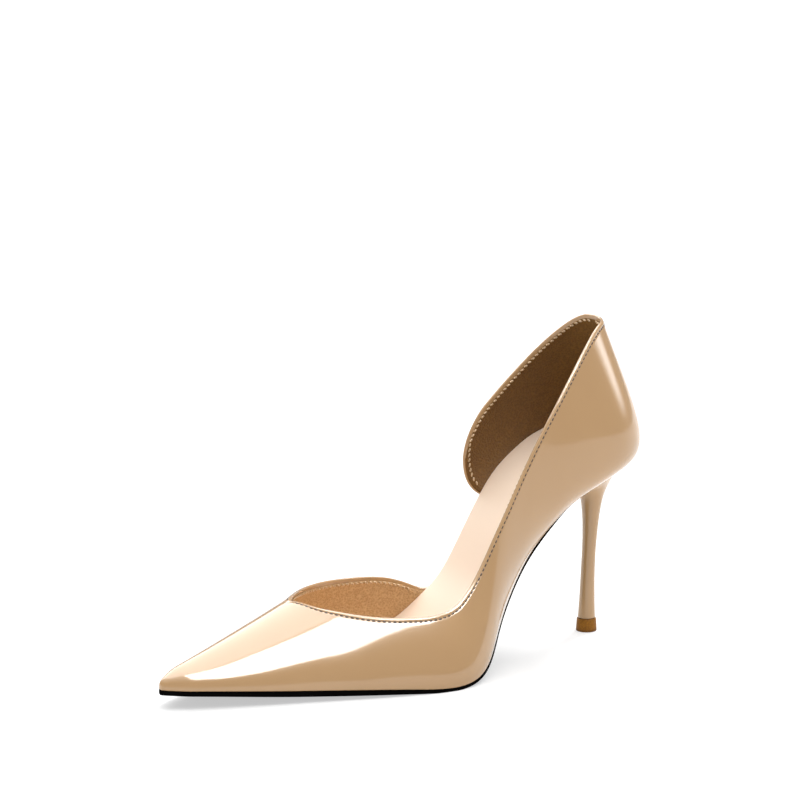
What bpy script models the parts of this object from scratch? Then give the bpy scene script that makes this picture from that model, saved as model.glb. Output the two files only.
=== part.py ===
"""A left pump with a pointed toe, a cut-away inner side and a stiletto heel, built over its last.

The toe points to -X and the heel to +X, the outer side of the foot is at -Y, and the floor is at z = 0.
Lengths are in millimetres and become metres when a mesh is made. A station is the distance from the tip of
the toe along the shoe; past TURN_START the stations swing round the heel and end in the middle of its back.
"""

import math

import bmesh
import bpy
import numpy as np

MM = 0.001
CENTRE = (112.8, -4.7, 0.0)  # middle of the shoe's length and width, at the floor, from the tip of the toe

WALL = 1.8  # upper leather and lining together, laid on the outside of the last
GAP = 0.3  # clearance between neighbouring pieces
OUTER = -1.0  # side of the little toe
INNER = 1.0  # side of the arch

TOE_TIP = 2.0  # the last's own tip, inside the leather
TOE_ROUND = 9.0  # length over which the tip of the toe rounds off
TOE_BLUNT = 0.3  # share of the height of the toe that is left at its very tip
THROAT = 61.0  # station where the vamp ends and the opening starts
TURN_START = 160.0
BACK = 236.0  # station in the middle of the back of the heel
WING_END = 144.0  # the inner vamp runs out here
COUNTER_START = 175.0  # the foot of the inner counter's front edge
SEAT_MIDDLE = 204.0

SOLE_END = 193.0
INSOLE_TOE = 9.0
INSOLE_BACK = 233.0
EDGE_GAP = 0.4  # clearance of the insole's edge, across the curve of the wall
LOWER_EDGE_GAP = 1.2  # clearance of its lower edge, over the lip of the seat
EDGE_BULGE = 0.35  # share of the insole's edge where it is fullest

TOP_PIECE_HEIGHT = 5.4
TOP_PIECE_RADIUS = 4.25
TOP_PIECE_TAPER = 0.3
HEEL_X = 206.2

ROWS_UP_THE_WALL = 12
ROW_SPREAD = 1.3  # above 1 crowds the rows toward the bottom edge
FINE_ROWS = 60  # for reading the wall's shape
COLUMNS_ACROSS = 8
HEEL_SIDES = 32
HEEL_RINGS = 22
RING_SPREAD = 0.8  # below 1 crowds the heel's rings toward its flare
WELD = 0.01  # points nearer than this are one point
SHARP = 40.0  # degrees between faces that meet in a hard edge


class Table:
    """Rows of named columns, read between the rows with a natural cubic spline over the first column."""

    def __init__(self, columns, rows):
        values = np.array(rows, float).T
        self.where = values[0]
        self.column = dict(zip(columns.split()[1:], values[1:]))

    def read(self, name, where):
        knots = self.where
        heights = self.column[name]
        spans = np.diff(knots)
        slopes = np.diff(heights) / spans
        system = np.eye(len(knots))
        right = np.zeros(len(knots))
        for i in range(1, len(knots) - 1):
            system[i, i - 1 : i + 2] = spans[i - 1], 2 * (spans[i - 1] + spans[i]), spans[i]
            right[i] = 6 * (slopes[i] - slopes[i - 1])
        bend = np.linalg.solve(system, right)
        where = np.clip(where, knots[0], knots[-1])
        i = np.clip(np.searchsorted(knots, where) - 1, 0, len(spans) - 1)
        near = where - knots[i]
        lean = slopes[i] - spans[i] * (2 * bend[i] + bend[i + 1]) / 6
        curl = (bend[i + 1] - bend[i]) / (6 * spans[i])
        return heights[i] + near * (lean + near * (bend[i] / 2 + near * curl))


# The last's bottom edge seen from above: half widths to each side, and how far it is tucked under the seat.
EDGE = Table(
    "station outer inner tuck",
    [
        (2, 2.6, 2.6, 0.0),
        (20, 11.2, 11.4, 0.0),
        (40, 19.4, 19.8, 0.0),
        (60, 27.0, 27.0, 0.0),
        (80, 34.8, 32.0, 0.0),
        (95, 39.8, 33.2, 0.0),
        (107, 42.6, 31.4, 0.0),
        (120, 41.0, 27.8, 0.0),
        (132, 34.0, 23.4, 0.0),
        (142, 26.2, 19.6, 0.0),
        (152, 20.6, 19.2, 0.0),
        (162, 18.8, 19.8, 0.1),
        (174, 20.4, 21.0, 1.0),
        (188, 24.2, 23.6, 5.0),
        (204, 26.8, 25.8, 8.0),
        (216, 27.0, 26.6, 8.6),
        (226, 26.4, 26.2, 8.6),
        (236, 25.8, 25.8, 8.6),
    ],
)

# The lip that carries the wall on under the seat to the heel: the side's curve, run on past its foot.
LIP = Table(
    "station share",
    [
        (188, 0.0),
        (195, 0.0),
        (204, 0.1),
        (216, 0.12),
        (226, 0.11),
        (236, 0.08),
    ],
)

# The line of the bottom edge seen from the side.
PROFILE = Table(
    "along height",
    [
        (0, 8.2),
        (20, 7.4),
        (45, 5.8),
        (70, 4.4),
        (90, 3.1),
        (108, 1.95),
        (120, 3.2),
        (130, 8.0),
        (140, 18.0),
        (150, 28.7),
        (160, 41.0),
        (170, 51.8),
        (180, 59.9),
        (190, 65.0),
        (200, 69.1),
        (212, 72.4),
        (226, 73.4),
    ],
)

# The last's crown: the ridge of the vamp, then the line under which the topline is cut.
CROWN = Table(
    "station height",
    [
        (2, 11.8),
        (20, 17.6),
        (40, 24.6),
        (61, 32.5),
        (70, 36.0),
        (80, 39.8),
        (95, 44.5),
        (110, 49.0),
        (118, 52.0),
        (126, 55.6),
        (134, 60.4),
        (142, 67.0),
        (152, 77.4),
        (162, 89.4),
        (174, 104.0),
        (188, 118.4),
        (204, 127.6),
        (216, 129.4),
        (226, 129.8),
        (236, 130.0),
    ],
)

# Each side of the last runs in one curve from the bottom edge up to the crown. The belly is the curve's
# handle at the bottom edge and the shoulder its handle at the crown.
SIDE_COLUMNS = "station crown_out belly_out belly_up shoulder_out shoulder_down"

OUTER_SIDE = Table(
    SIDE_COLUMNS,
    [
        (2, 0.0, 0.0, 3.0, 1.2, 0.3),
        (20, 0.0, 0.6, 4.6, 2.9, 0.3),
        (40, 0.0, 1.0, 7.4, 6.6, 0.4),
        (61, 0.0, 1.4, 11.0, 11.0, 0.8),
        (70, 0.0, 1.6, 11.0, 13.9, 0.9),
        (80, 0.5, 1.8, 11.0, 19.4, 1.2),
        (95, 3.0, 2.0, 11.0, 24.2, 2.5),
        (110, 9.0, 2.2, 11.0, 18.8, 5.0),
        (118, 14.5, 2.4, 11.0, 12.9, 7.0),
        (126, 20.5, 3.0, 11.5, 8.4, 9.0),
        (134, 25.0, 4.0, 12.0, 4.8, 11.5),
        (142, 27.0, 5.4, 12.5, 1.6, 13.5),
        (152, 25.8, 7.6, 13.0, 1.0, 15.0),
        (162, 24.4, 9.2, 13.0, 2.0, 16.0),
        (174, 22.4, 10.6, 11.0, 3.2, 18.0),
        (188, 18.4, 13.0, 6.0, 6.0, 22.0),
        (204, 13.6, 16.0, 3.0, 9.5, 28.0),
        (216, 11.6, 17.0, 2.2, 11.4, 32.0),
        (226, 10.6, 17.0, 2.0, 12.0, 33.0),
        (236, 10.2, 17.0, 2.0, 12.2, 33.0),
    ],
)

INNER_SIDE = Table(
    SIDE_COLUMNS,
    [
        (2, 0.0, 0.0, 3.0, 1.2, 0.3),
        (20, 0.0, 0.6, 5.2, 3.2, 0.3),
        (40, 0.0, 1.0, 8.2, 6.0, 0.5),
        (61, 0.0, 1.4, 11.0, 9.0, 1.0),
        (70, 0.0, 1.6, 11.0, 12.0, 1.1),
        (80, 0.5, 1.8, 11.0, 19.0, 1.4),
        (95, 3.0, 1.8, 11.0, 27.0, 2.5),
        (110, 9.0, 1.6, 11.0, 22.0, 5.0),
        (125, 17.0, 1.6, 11.0, 9.0, 9.0),
        (136, 21.5, 2.2, 11.0, 1.0, 12.0),
        (150, 24.0, 5.5, 12.0, 0.0, 14.0),
        (162, 24.6, 8.4, 12.0, 1.5, 16.0),
        (174, 22.8, 10.4, 11.0, 3.2, 18.0),
        (188, 18.8, 12.6, 6.0, 6.0, 22.0),
        (204, 13.6, 15.6, 3.0, 9.5, 28.0),
        (216, 11.6, 17.0, 2.2, 11.4, 32.0),
        (226, 10.6, 17.0, 2.0, 12.0, 33.0),
        (236, 10.2, 17.0, 2.0, 12.2, 33.0),
    ],
)
SIDES = {OUTER: OUTER_SIDE, INNER: INNER_SIDE}

# How much of each side the leather covers, from the bottom edge up to the topline, and how far the topline
# is carried along the shoe from the foot of its section.
CUT_COLUMNS = "station share rake"

OUTER_CUT = Table(
    CUT_COLUMNS,
    [
        (61, 1.0, 0.0),
        (64, 0.845, 0.0),
        (70, 0.69, 0.0),
        (80, 0.577, 0.0),
        (95, 0.516, 0.0),
        (110, 0.505, 0.0),
        (118, 0.532, 0.0),
        (126, 0.603, 0.0),
        (134, 0.714, 0.0),
        (142, 0.838, 0.0),
        (152, 0.942, 0.0),
        (162, 0.99, 0.0),
        (174, 1.0, 0.0),
        (236, 1.0, 0.0),
    ],
)

VAMP_CUT = Table(
    CUT_COLUMNS,
    [
        (61, 1.0, 0.0),
        (64, 0.895, 0.0),
        (70, 0.753, 0.0),
        (80, 0.625, 0.0),
        (95, 0.554, 0.0),
        (110, 0.524, 0.0),
        (118, 0.497, 0.0),
        (126, 0.438, 0.0),
        (134, 0.295, 0.0),
        (140, 0.095, 0.0),
        (144, 0.04, 0.0),
    ],
)

COUNTER_CUT = Table(
    CUT_COLUMNS,
    [
        (175, 0.614, -10.8),
        (175.4, 0.681, -10.4),
        (176, 0.739, -9.3),
        (177, 0.781, -7.6),
        (180, 0.805, -4.2),
        (184, 0.818, -1.1),
        (192, 0.86, 0.0),
        (204, 0.928, 0.0),
        (216, 0.982, 0.0),
        (226, 1.0, 0.0),
        (236, 1.0, 0.0),
    ],
)

# How thick the insole is, how far its edges cup upward, and how high it lies over the bottom edge.
INSOLE = Table(
    "along thick cup bottom",
    [
        (0, 2.6, 0.0, -0.3),
        (60, 3.4, 0.0, -0.3),
        (90, 4.7, 0.1, -0.3),
        (108, 5.8, 0.2, -0.3),
        (128, 4.2, 0.3, -0.3),
        (140, 2.8, 0.4, -0.3),
        (160, 2.7, 0.6, -0.3),
        (180, 5.8, 1.8, -0.2),
        (194, 7.9, 2.6, 1.0),
        (200, 8.1, 2.8, 1.1),
        (226, 8.6, 2.8, 1.1),
    ],
)

# How thick the sole is along its middle and at its edges, how far its edge lies inside the face of the
# leather, and how far it drops under the bottom edge; at the seat it lies between the walls.
OUTSOLE = Table(
    "along middle edge set_back drop",
    [
        (0, 2.0, 1.8, 0.5, 0.6),
        (50, 3.0, 2.3, 0.5, 0.6),
        (90, 3.2, 1.9, 0.5, 0.6),
        (110, 2.4, 1.4, 0.5, 0.6),
        (120, 2.4, 1.3, 0.5, 0.7),
        (132, 2.2, 1.4, 0.5, 1.05),
        (142, 1.8, 1.5, 0.6, 1.1),
        (152, 1.5, 1.4, 0.8, 1.0),
        (165, 1.5, 1.4, 1.2, 0.95),
        (175, 1.4, 1.4, 1.6, 0.9),
        (185, 1.4, 1.4, 2.1, 0.7),
        (226, 1.4, 1.4, 2.1, 0.7),
    ],
)

# The heel from its foot up: the centre and half widths of each section, and how far it leans to the seat.
HEEL = Table(
    "height along half_length half_width slant",
    [
        (5.7, 206.2, 3.6, 3.6, 0.0),
        (14, 206.4, 3.2, 3.2, 0.0),
        (24, 206.7, 2.95, 2.95, 0.0),
        (34, 207.2, 2.9, 2.9, 0.0),
        (44, 207.8, 3.3, 3.3, 0.0),
        (52, 208.2, 4.1, 4.1, 0.1),
        (58, 208.4, 5.6, 5.6, 0.35),
        (62, 208.1, 8.0, 8.0, 0.7),
        (65, 207.3, 10.6, 10.8, 0.95),
        (69, 206.5, 13.4, 14.0, 1.0),
    ],
)

MATERIALS = {
    "upper": ((0.60, 0.38, 0.22, 1.0), 0.08),
    "insole": ((0.80, 0.62, 0.46, 1.0), 0.45),
    "outsole": ((0.02, 0.02, 0.02, 1.0), 0.40),
    "heel": ((0.60, 0.38, 0.22, 1.0), 0.08),
    "heel_top_piece": ((0.28, 0.15, 0.06, 1.0), 0.55),
}


def place(station, out, side):
    """Plan position of a point that lies so far out from the middle line at a station, on one side."""
    share = np.clip((station - TURN_START) / (BACK - TURN_START), 0.0, 1.0)
    swing = 2 * share**3 - share**4
    middle = np.minimum(station, TURN_START) + (BACK - TURN_START) * (share - swing / 2)
    turn = swing * math.pi / 2
    return middle + out * np.sin(turn), side * out * np.cos(turn)


def toe_round(station):
    """Quarter of an ellipse that closes the outline at the tip of the toe."""
    near = np.clip((station - TOE_TIP) / TOE_ROUND, 0.0, 1.0)
    return np.sqrt(1 - (1 - near) ** 2)


def edge_out(station, side):
    """Half width of the last's bottom edge, before the seat tucks it under."""
    width = EDGE.read("outer" if side == OUTER else "inner", station)
    return width * toe_round(station)


def foot_of(station, side):
    """Half width at the foot of the wall, tucked under the seat at the heel."""
    return edge_out(station, side) - EDGE.read("tuck", station)


def side_point(side, station, up):
    """Points on one side of the last: its bottom edge is at up = 0, its crown at 1 and the lip below 0."""
    shape = {name: SIDES[side].read(name, station) for name in SIDES[side].column}
    round_off = toe_round(station)
    blunt = TOE_BLUNT + (1 - TOE_BLUNT) * round_off
    foot_out = foot_of(station, side)
    foot_z = PROFILE.read("height", place(station, foot_out, side)[0])
    crown_out = np.where(station > THROAT, shape["crown_out"], 0.0)
    crown_rise = (CROWN.read("height", station) - foot_z) * blunt
    outs = (
        foot_out,
        foot_out + shape["belly_out"] * round_off,
        crown_out + shape["shoulder_out"] * round_off,
        crown_out,
    )
    rises = (
        0.0,
        shape["belly_up"] * blunt,
        crown_rise - shape["shoulder_down"] * round_off,
        crown_rise,
    )
    down = 1 - up
    weights = (down**3, 3 * down**2 * up, 3 * down * up**2, up**3)
    out = sum(w * p for w, p in zip(weights, outs))
    rise = sum(w * p for w, p in zip(weights, rises))
    base = PROFILE.read("height", place(station, np.where(up < 0, out, foot_out), side)[0])
    x, y = place(station, out, side)
    return np.stack(np.broadcast_arrays(x, y, base + rise), axis=-1)


def steps(*stops):
    """Stations between stops given as (station, count) pairs, each count leading up to its station."""
    pieces = [np.linspace(a, b, n + 1)[:-1] for (a, _), (b, n) in zip(stops, stops[1:])]
    return np.append(np.concatenate(pieces), stops[-1][0])


# Where the sections lie: each pair is a station and the number of steps that lead up to it.
TOE_STEPS = ((TOE_TIP, 0), (2.4, 2), (4.0, 3), (10.0, 4), (THROAT, 11))
OUTER_STEPS = ((THROAT, 0), (74, 5), (110, 8), (TURN_START, 15), (SEAT_MIDDLE, 10), (BACK, 10))
VAMP_STEPS = ((THROAT, 0), (74, 5), (110, 8), (WING_END, 9))
COUNTER_STEPS = ((COUNTER_START, 0), (176, 4), (184, 5), (SEAT_MIDDLE, 6), (BACK, 10))
INSOLE_STEPS = ((INSOLE_TOE, 0), (THROAT, 9), (TURN_START, 20), (SEAT_MIDDLE, 10), (INSOLE_BACK, 12))
SOLE_STEPS = (*TOE_STEPS[1:-1], (THROAT, 9), (TURN_START, 24), (SOLE_END, 8))


def wall_grid(side, cut, stations):
    """Points of the wall that covers one side up to its topline."""
    stations = stations[:, None]
    rows = np.linspace(0, 1, ROWS_UP_THE_WALL + 1)[None, :] ** ROW_SPREAD
    lip = np.maximum(LIP.read("share", stations), 0.0)
    up = rows * (np.minimum(cut.read("share", stations), 1.0) + lip) - lip
    return side_point(side, stations + cut.read("rake", stations) * rows * (2 - rows), up)


def out_at_rise(stations, side, rises):
    """How far out the last is at so much height over its bottom edge, at each station."""
    points = side_point(side, stations[:, None], np.linspace(0, 1, FINE_ROWS)[None, :])
    x, y = place(stations[:, None], 0.0, side)
    out = np.hypot(points[..., 0] - x, points[..., 1] - y)
    heights = points[..., 2] - points[:, :1, 2]
    return np.array([np.interp(r, h, o) for r, h, o in zip(rises, heights, out)])


def new_object(name, mesh, collection):
    """An object with its own plain material."""
    colour, roughness = MATERIALS[name]
    material = bpy.data.materials.new(name)
    material.use_nodes = True
    shader = material.node_tree.nodes["Principled BSDF"]
    shader.inputs["Base Color"].default_value = colour
    shader.inputs["Roughness"].default_value = roughness
    shader.inputs["Metallic"].default_value = 0.0
    mesh.materials.append(material)
    mesh.shade_smooth()
    mesh.set_sharp_from_angle(angle=math.radians(SHARP))
    item = bpy.data.objects.new(name, mesh)
    collection.objects.link(item)
    return item


def to_metres(points):
    return (np.asarray(points) - CENTRE) * MM


def add_grid(shape, points, side):
    """A sheet of four-sided faces through a grid of points, facing away from the middle of the shoe."""
    columns, rows = points.shape[:2]
    verts = [[shape.verts.new(p) for p in line] for line in to_metres(points)]
    for i in range(columns - 1):
        for j in range(rows - 1):
            corners = (verts[i][j], verts[i + 1][j], verts[i + 1][j + 1], verts[i][j + 1])
            shape.faces.new(corners if side == OUTER else corners[::-1])


def finish(shape, name):
    """Weld a sheet or a loft and store it as a mesh."""
    bmesh.ops.remove_doubles(shape, verts=shape.verts, dist=WELD * MM)
    bmesh.ops.dissolve_degenerate(shape, edges=shape.edges, dist=WELD * MM)
    mesh = bpy.data.meshes.new(name)
    shape.to_mesh(mesh)
    shape.free()
    return mesh


def loft(rings, name):
    """A closed body through rings of equal counts, each end closed by a fan about its middle."""
    shape = bmesh.new()
    loops = [[shape.verts.new(p) for p in ring] for ring in to_metres(rings)]
    count = len(loops[0])
    for low, high in zip(loops, loops[1:]):
        for i in range(count):
            j = (i + 1) % count
            shape.faces.new((low[i], low[j], high[j], high[i]))
    for loop, ring in ((loops[0][::-1], rings[0]), (loops[-1], rings[-1])):
        middle = shape.verts.new(to_metres(np.mean(ring, axis=0)))
        for i in range(count):
            shape.faces.new((loop[i], loop[(i + 1) % count], middle))
    if shape.calc_volume(signed=True) < 0:
        bmesh.ops.reverse_faces(shape, faces=shape.faces)
    return finish(shape, name)


def make_upper(collection):
    """The lasted wall: outer side, inner vamp and inner counter in one sheet, thickened off the last."""
    toe = steps(*TOE_STEPS)[:-1]
    shape = bmesh.new()
    add_grid(shape, wall_grid(OUTER, OUTER_CUT, np.append(toe, steps(*OUTER_STEPS))), OUTER)
    add_grid(shape, wall_grid(INNER, VAMP_CUT, np.append(toe, steps(*VAMP_STEPS))), INNER)
    add_grid(shape, wall_grid(INNER, COUNTER_CUT, steps(*COUNTER_STEPS)), INNER)
    upper = new_object("upper", finish(shape, "upper"), collection)
    leather = upper.modifiers.new("leather", "SOLIDIFY")
    leather.thickness = WALL * MM
    leather.offset = 1.0
    leather.use_even_offset = True
    leather.use_quality_normals = True
    return upper


def edge_line(stations, side, out):
    """The line so far out along one side, at the height of the bottom edge."""
    x, y = place(stations, out, side)
    return np.stack((x, y), axis=-1)


def pushed_out(line, side, amount):
    """A plan line moved along its own normals."""
    ahead = np.gradient(line, axis=0)
    ahead[0] = (0.0, side)
    normal = np.stack((-ahead[:, 1], ahead[:, 0]), axis=-1) * side
    normal /= np.linalg.norm(normal, axis=1, keepdims=True)
    return line + normal * amount[:, None]


def across(outer_line, inner_line):
    """Rows of plan points from the outer line to the inner one."""
    share = np.linspace(0, 1, COLUMNS_ACROSS + 1)[None, :, None]
    return outer_line[:, None] * (1 - share) + inner_line[:, None] * share


def slope_length(x):
    """Upright height that a millimetre square to the bottom takes up at a place along the shoe."""
    rise = (PROFILE.read("height", x + GAP) - PROFILE.read("height", x - GAP)) / (2 * GAP)
    return np.sqrt(1 + rise**2)


def with_height(plan, z):
    return np.concatenate((plan, z[..., None]), axis=-1)


def make_insole(collection):
    """The insole, bent to the profile, filling the last's bottom inside the wall with its edges cupped."""
    stations = steps(*INSOLE_STEPS)
    rise = (INSOLE.read("thick", stations) + INSOLE.read("cup", stations)) * slope_length(stations)
    top_lines = []
    bottom_lines = []
    bulges = []
    for side in (OUTER, INNER):
        top = out_at_rise(stations, side, rise) - EDGE_GAP
        bulge = out_at_rise(stations, side, rise * EDGE_BULGE) - EDGE_GAP
        foot = foot_of(stations, side)
        top_lines.append(edge_line(stations, side, np.minimum(top, bulge + rise)))
        bottom_lines.append(edge_line(stations, side, foot - LOWER_EDGE_GAP))
        bulge_z = PROFILE.read("height", place(stations, foot, side)[0]) + rise * EDGE_BULGE
        bulges.append(with_height(edge_line(stations, side, bulge), bulge_z)[:, None])
    top_plan = across(*top_lines)
    x = top_plan[..., 0]
    share = np.linspace(-1, 1, COLUMNS_ACROSS + 1)[None, :]
    lift = INSOLE.read("thick", x) + INSOLE.read("cup", x) * share**2
    top = with_height(top_plan, PROFILE.read("height", x) + lift * slope_length(x))
    bottom_plan = across(*bottom_lines)
    x = bottom_plan[..., 0]
    lift = INSOLE.read("bottom", x)
    bottom = with_height(bottom_plan, PROFILE.read("height", x) + lift * slope_length(x))
    rings = np.concatenate((top, bulges[1], bottom[:, ::-1], bulges[0]), axis=1)
    return new_object("insole", loft(rings, "insole"), collection)


def make_outsole(collection):
    """The thin sole under the edge of the upper, with its tread flat on the floor."""
    stations = steps(*SOLE_STEPS)
    reach = WALL - OUTSOLE.read("set_back", stations)
    edges = [edge_line(stations, side, foot_of(stations, side)) for side in (OUTER, INNER)]
    plan = across(*[pushed_out(edge, side, reach) for edge, side in zip(edges, (OUTER, INNER))])
    x = plan[..., 0]
    top_z = PROFILE.read("height", x) - OUTSOLE.read("drop", x) * slope_length(x)
    share = np.linspace(-1, 1, COLUMNS_ACROSS + 1)[None, :]
    middle = OUTSOLE.read("middle", x)
    thick = middle + (OUTSOLE.read("edge", x) - middle) * share**4
    bottom_z = np.maximum(top_z - thick * slope_length(x), 0.0)
    rings = np.concatenate((with_height(plan, top_z), with_height(plan, bottom_z)[:, ::-1]), axis=1)
    return new_object("outsole", loft(rings, "outsole"), collection)


def make_heel(collection):
    """The covered stiletto, from its small foot up to the flare under the seat."""
    levels = np.linspace(0, 1, HEEL_RINGS) ** RING_SPREAD
    heights = HEEL.where[0] + levels * (HEEL.where[-1] - HEEL.where[0])
    around = np.linspace(0, 2 * math.pi, HEEL_SIDES, endpoint=False)
    rings = []
    for height in heights:
        x = HEEL.read("along", height) + HEEL.read("half_length", height) * np.cos(around)
        y = HEEL.read("half_width", height) * np.sin(around)
        seat = PROFILE.read("height", x) - PROFILE.read("height", HEEL.read("along", height))
        z = height + HEEL.read("slant", height) * seat
        rings.append(np.stack((x, y, z), axis=-1))
    return new_object("heel", loft(np.array(rings), "heel"), collection)


def make_top_piece(collection):
    """The lift under the heel, a low cone that stands on the floor."""
    shape = bmesh.new()
    bmesh.ops.create_cone(
        shape,
        cap_ends=True,
        segments=HEEL_SIDES,
        radius1=TOP_PIECE_RADIUS * MM,
        radius2=(TOP_PIECE_RADIUS - TOP_PIECE_TAPER) * MM,
        depth=TOP_PIECE_HEIGHT * MM,
    )
    mesh = bpy.data.meshes.new("heel_top_piece")
    shape.to_mesh(mesh)
    shape.free()
    piece = new_object("heel_top_piece", mesh, collection)
    piece.location = to_metres((HEEL_X, 0.0, TOP_PIECE_HEIGHT / 2))
    return piece


def main():
    for item in list(bpy.data.objects):
        bpy.data.objects.remove(item)
    collection = bpy.data.collections.new("high_heel")
    bpy.context.scene.collection.children.link(collection)
    make_upper(collection)
    make_insole(collection)
    make_outsole(collection)
    make_heel(collection)
    make_top_piece(collection)


main()
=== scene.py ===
"""A nude patent pump with a pointed toe, a cut-away inner side and a stiletto heel, laid over its frame.

The surfaces are worked out on the last of the shoe, in millimetres from the tip of the toe. A station is the
distance from the tip along the shoe; past TURN_START the stations swing round the heel and end in the middle
of its back.
"""

import math

import bpy
import numpy as np
from bpy.props import FloatProperty, FloatVectorProperty, PointerProperty
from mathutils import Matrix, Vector


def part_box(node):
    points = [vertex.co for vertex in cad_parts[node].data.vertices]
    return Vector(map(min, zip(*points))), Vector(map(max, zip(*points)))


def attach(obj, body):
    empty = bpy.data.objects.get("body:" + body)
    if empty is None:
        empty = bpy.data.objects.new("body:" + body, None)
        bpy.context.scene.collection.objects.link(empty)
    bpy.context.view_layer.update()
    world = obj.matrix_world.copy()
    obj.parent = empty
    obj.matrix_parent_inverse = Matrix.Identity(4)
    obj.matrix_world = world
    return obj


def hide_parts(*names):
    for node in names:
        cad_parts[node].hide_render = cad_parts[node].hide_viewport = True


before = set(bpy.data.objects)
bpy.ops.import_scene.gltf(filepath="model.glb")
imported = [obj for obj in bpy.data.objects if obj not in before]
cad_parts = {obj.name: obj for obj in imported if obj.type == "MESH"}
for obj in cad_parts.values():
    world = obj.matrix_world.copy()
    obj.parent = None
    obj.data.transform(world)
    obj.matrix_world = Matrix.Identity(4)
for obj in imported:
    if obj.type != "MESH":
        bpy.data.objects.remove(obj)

bl_info = {
    "name": "Patent Pump",
    "version": (1, 0, 0),
    "blender": (4, 5, 0),
    "location": "3D View > Sidebar > Pump",
    "description": "Leather, lining, stitches, sole, heel and stage of a pointed patent pump",
    "category": "Object",
}

MM = 0.001
CENTRE = np.array((112.8, -4.7, 0.0))  # the frame's origin, from the tip of the toe
OUTER = -1.0  # side of the little toe
INNER = 1.0  # side of the arch

# Sizes of the shoe are in millimetres from here on.
WALL = 1.8  # leather and lining together
TOE_TIP = 2.0  # station of the wall's foremost section
TOE_ROUND = 9.0  # length of the rounded tip
TOE_BLUNT = 0.3  # share of the wall's height that is left at the foremost section
THROAT = 61.0  # station where the topline leaves the ridge of the vamp
TURN_START = 160.0  # station where the sections start to swing round the heel
BACK = 236.0  # station in the middle of the back
WING_END = 144.0  # station where the inner vamp ends
COUNTER_START = 175.0  # station of the inner counter's front edge
SOLE_END = 193.0  # station where the sole meets the heel
INSOLE_TOE = 9.0  # first and last station of the insole
INSOLE_BACK = 233.0
EDGE_GAP = 0.4  # clearance of the insole's edge from the wall
LOWER_EDGE_GAP = 1.2  # clearance of its lower edge, over the lip of the seat
EDGE_BULGE = 0.35  # share of the insole's edge where it is fullest
NEAR = 0.01  # small step of a side's share, for measuring speeds along it
SHORT = 0.3  # small step along the shoe, for measuring slopes
TINY = 1e-12  # keeps a division clear of zero
WELD_DIGITS = 5  # decimals of a millimetre to which welded points agree
ALL_SMOOTH = 180.0  # degrees between faces that meet in a hard edge: none
BODY_SHARP = 50.0  # the same for the insole, the sole and the heel
PIXELS = 800  # width of the picture
SENSOR = 36.0  # width of the camera's sensor


def linear(hex_colour):
    """sRGB hex to linear light: c / 12.92 below 0.04045, else ((c + 0.055) / 1.055) to the power 2.4."""
    value = np.array([int(hex_colour[i : i + 2], 16) for i in (1, 3, 5)]) / 255
    low = value / 12.92
    high = ((value + 0.055) / 1.055) ** 2.4
    return (*np.where(value <= 0.04045, low, high).tolist(), 1.0)


# Shape of the last


class Table:
    """Rows of named columns, read between the rows with a natural cubic spline over the first column."""

    def __init__(self, columns, rows):
        values = np.array(rows, float).T
        self.where = values[0]
        self.column = dict(zip(columns.split()[1:], values[1:]))

    def read(self, name, where):
        """A column at some places, held at its first and last value outside the rows."""
        knots = self.where
        heights = self.column[name]
        spans = np.diff(knots)
        slopes = np.diff(heights) / spans
        # The bend at each row: none at the ends, and in between such that the slopes on both sides agree.
        system = np.eye(len(knots))
        system[1:-1, :-2] += np.diag(spans[:-1])
        system[1:-1, 1:-1] += np.diag(2 * (spans[:-1] + spans[1:]) - 1)
        system[1:-1, 2:] += np.diag(spans[1:])
        right = np.zeros(len(knots))
        right[1:-1] = 6 * np.diff(slopes)
        bend = np.linalg.solve(system, right)
        where = np.clip(where, knots[0], knots[-1])
        i = np.clip(np.searchsorted(knots, where) - 1, 0, len(spans) - 1)
        near = where - knots[i]
        lean = slopes[i] - spans[i] * (2 * bend[i] + bend[i + 1]) / 6
        curl = (bend[i + 1] - bend[i]) / (6 * spans[i])
        return heights[i] + near * (lean + near * (bend[i] / 2 + near * curl))


# The bottom edge seen from above: half widths to each side, and how far it is tucked under the seat.
EDGE = Table("station outer inner tuck", [
    (2, 2.6, 2.6, 0.0),
    (20, 11.2, 11.4, 0.0),
    (40, 19.4, 19.8, 0.0),
    (60, 27.0, 27.0, 0.0),
    (80, 34.8, 32.0, 0.0),
    (95, 39.8, 33.2, 0.0),
    (107, 42.6, 31.4, 0.0),
    (120, 41.0, 27.8, 0.0),
    (132, 34.0, 23.4, 0.0),
    (142, 26.2, 19.6, 0.0),
    (152, 20.6, 19.2, 0.0),
    (162, 18.8, 19.8, 0.1),
    (174, 20.4, 21.0, 1.0),
    (188, 24.2, 23.6, 5.0),
    (204, 26.8, 25.8, 8.0),
    (216, 27.0, 26.6, 8.6),
    (226, 26.4, 26.2, 8.6),
    (236, 25.8, 25.8, 8.6),
])

# The lip that carries the wall on under the seat to the heel: the side's curve, run on past its foot.
LIP = Table("station share", [
    (188, 0.0),
    (195, 0.0),
    (204, 0.1),
    (216, 0.12),
    (226, 0.11),
    (236, 0.08),
])

# The line of the bottom edge seen from the side.
PROFILE = Table("along height", [
    (0, 8.2),
    (20, 7.4),
    (45, 5.8),
    (70, 4.4),
    (90, 3.1),
    (108, 1.95),
    (120, 3.2),
    (130, 8.0),
    (140, 18.0),
    (150, 28.7),
    (160, 41.0),
    (170, 51.8),
    (180, 59.9),
    (190, 65.0),
    (200, 69.1),
    (212, 72.4),
    (226, 73.4),
])

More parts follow.
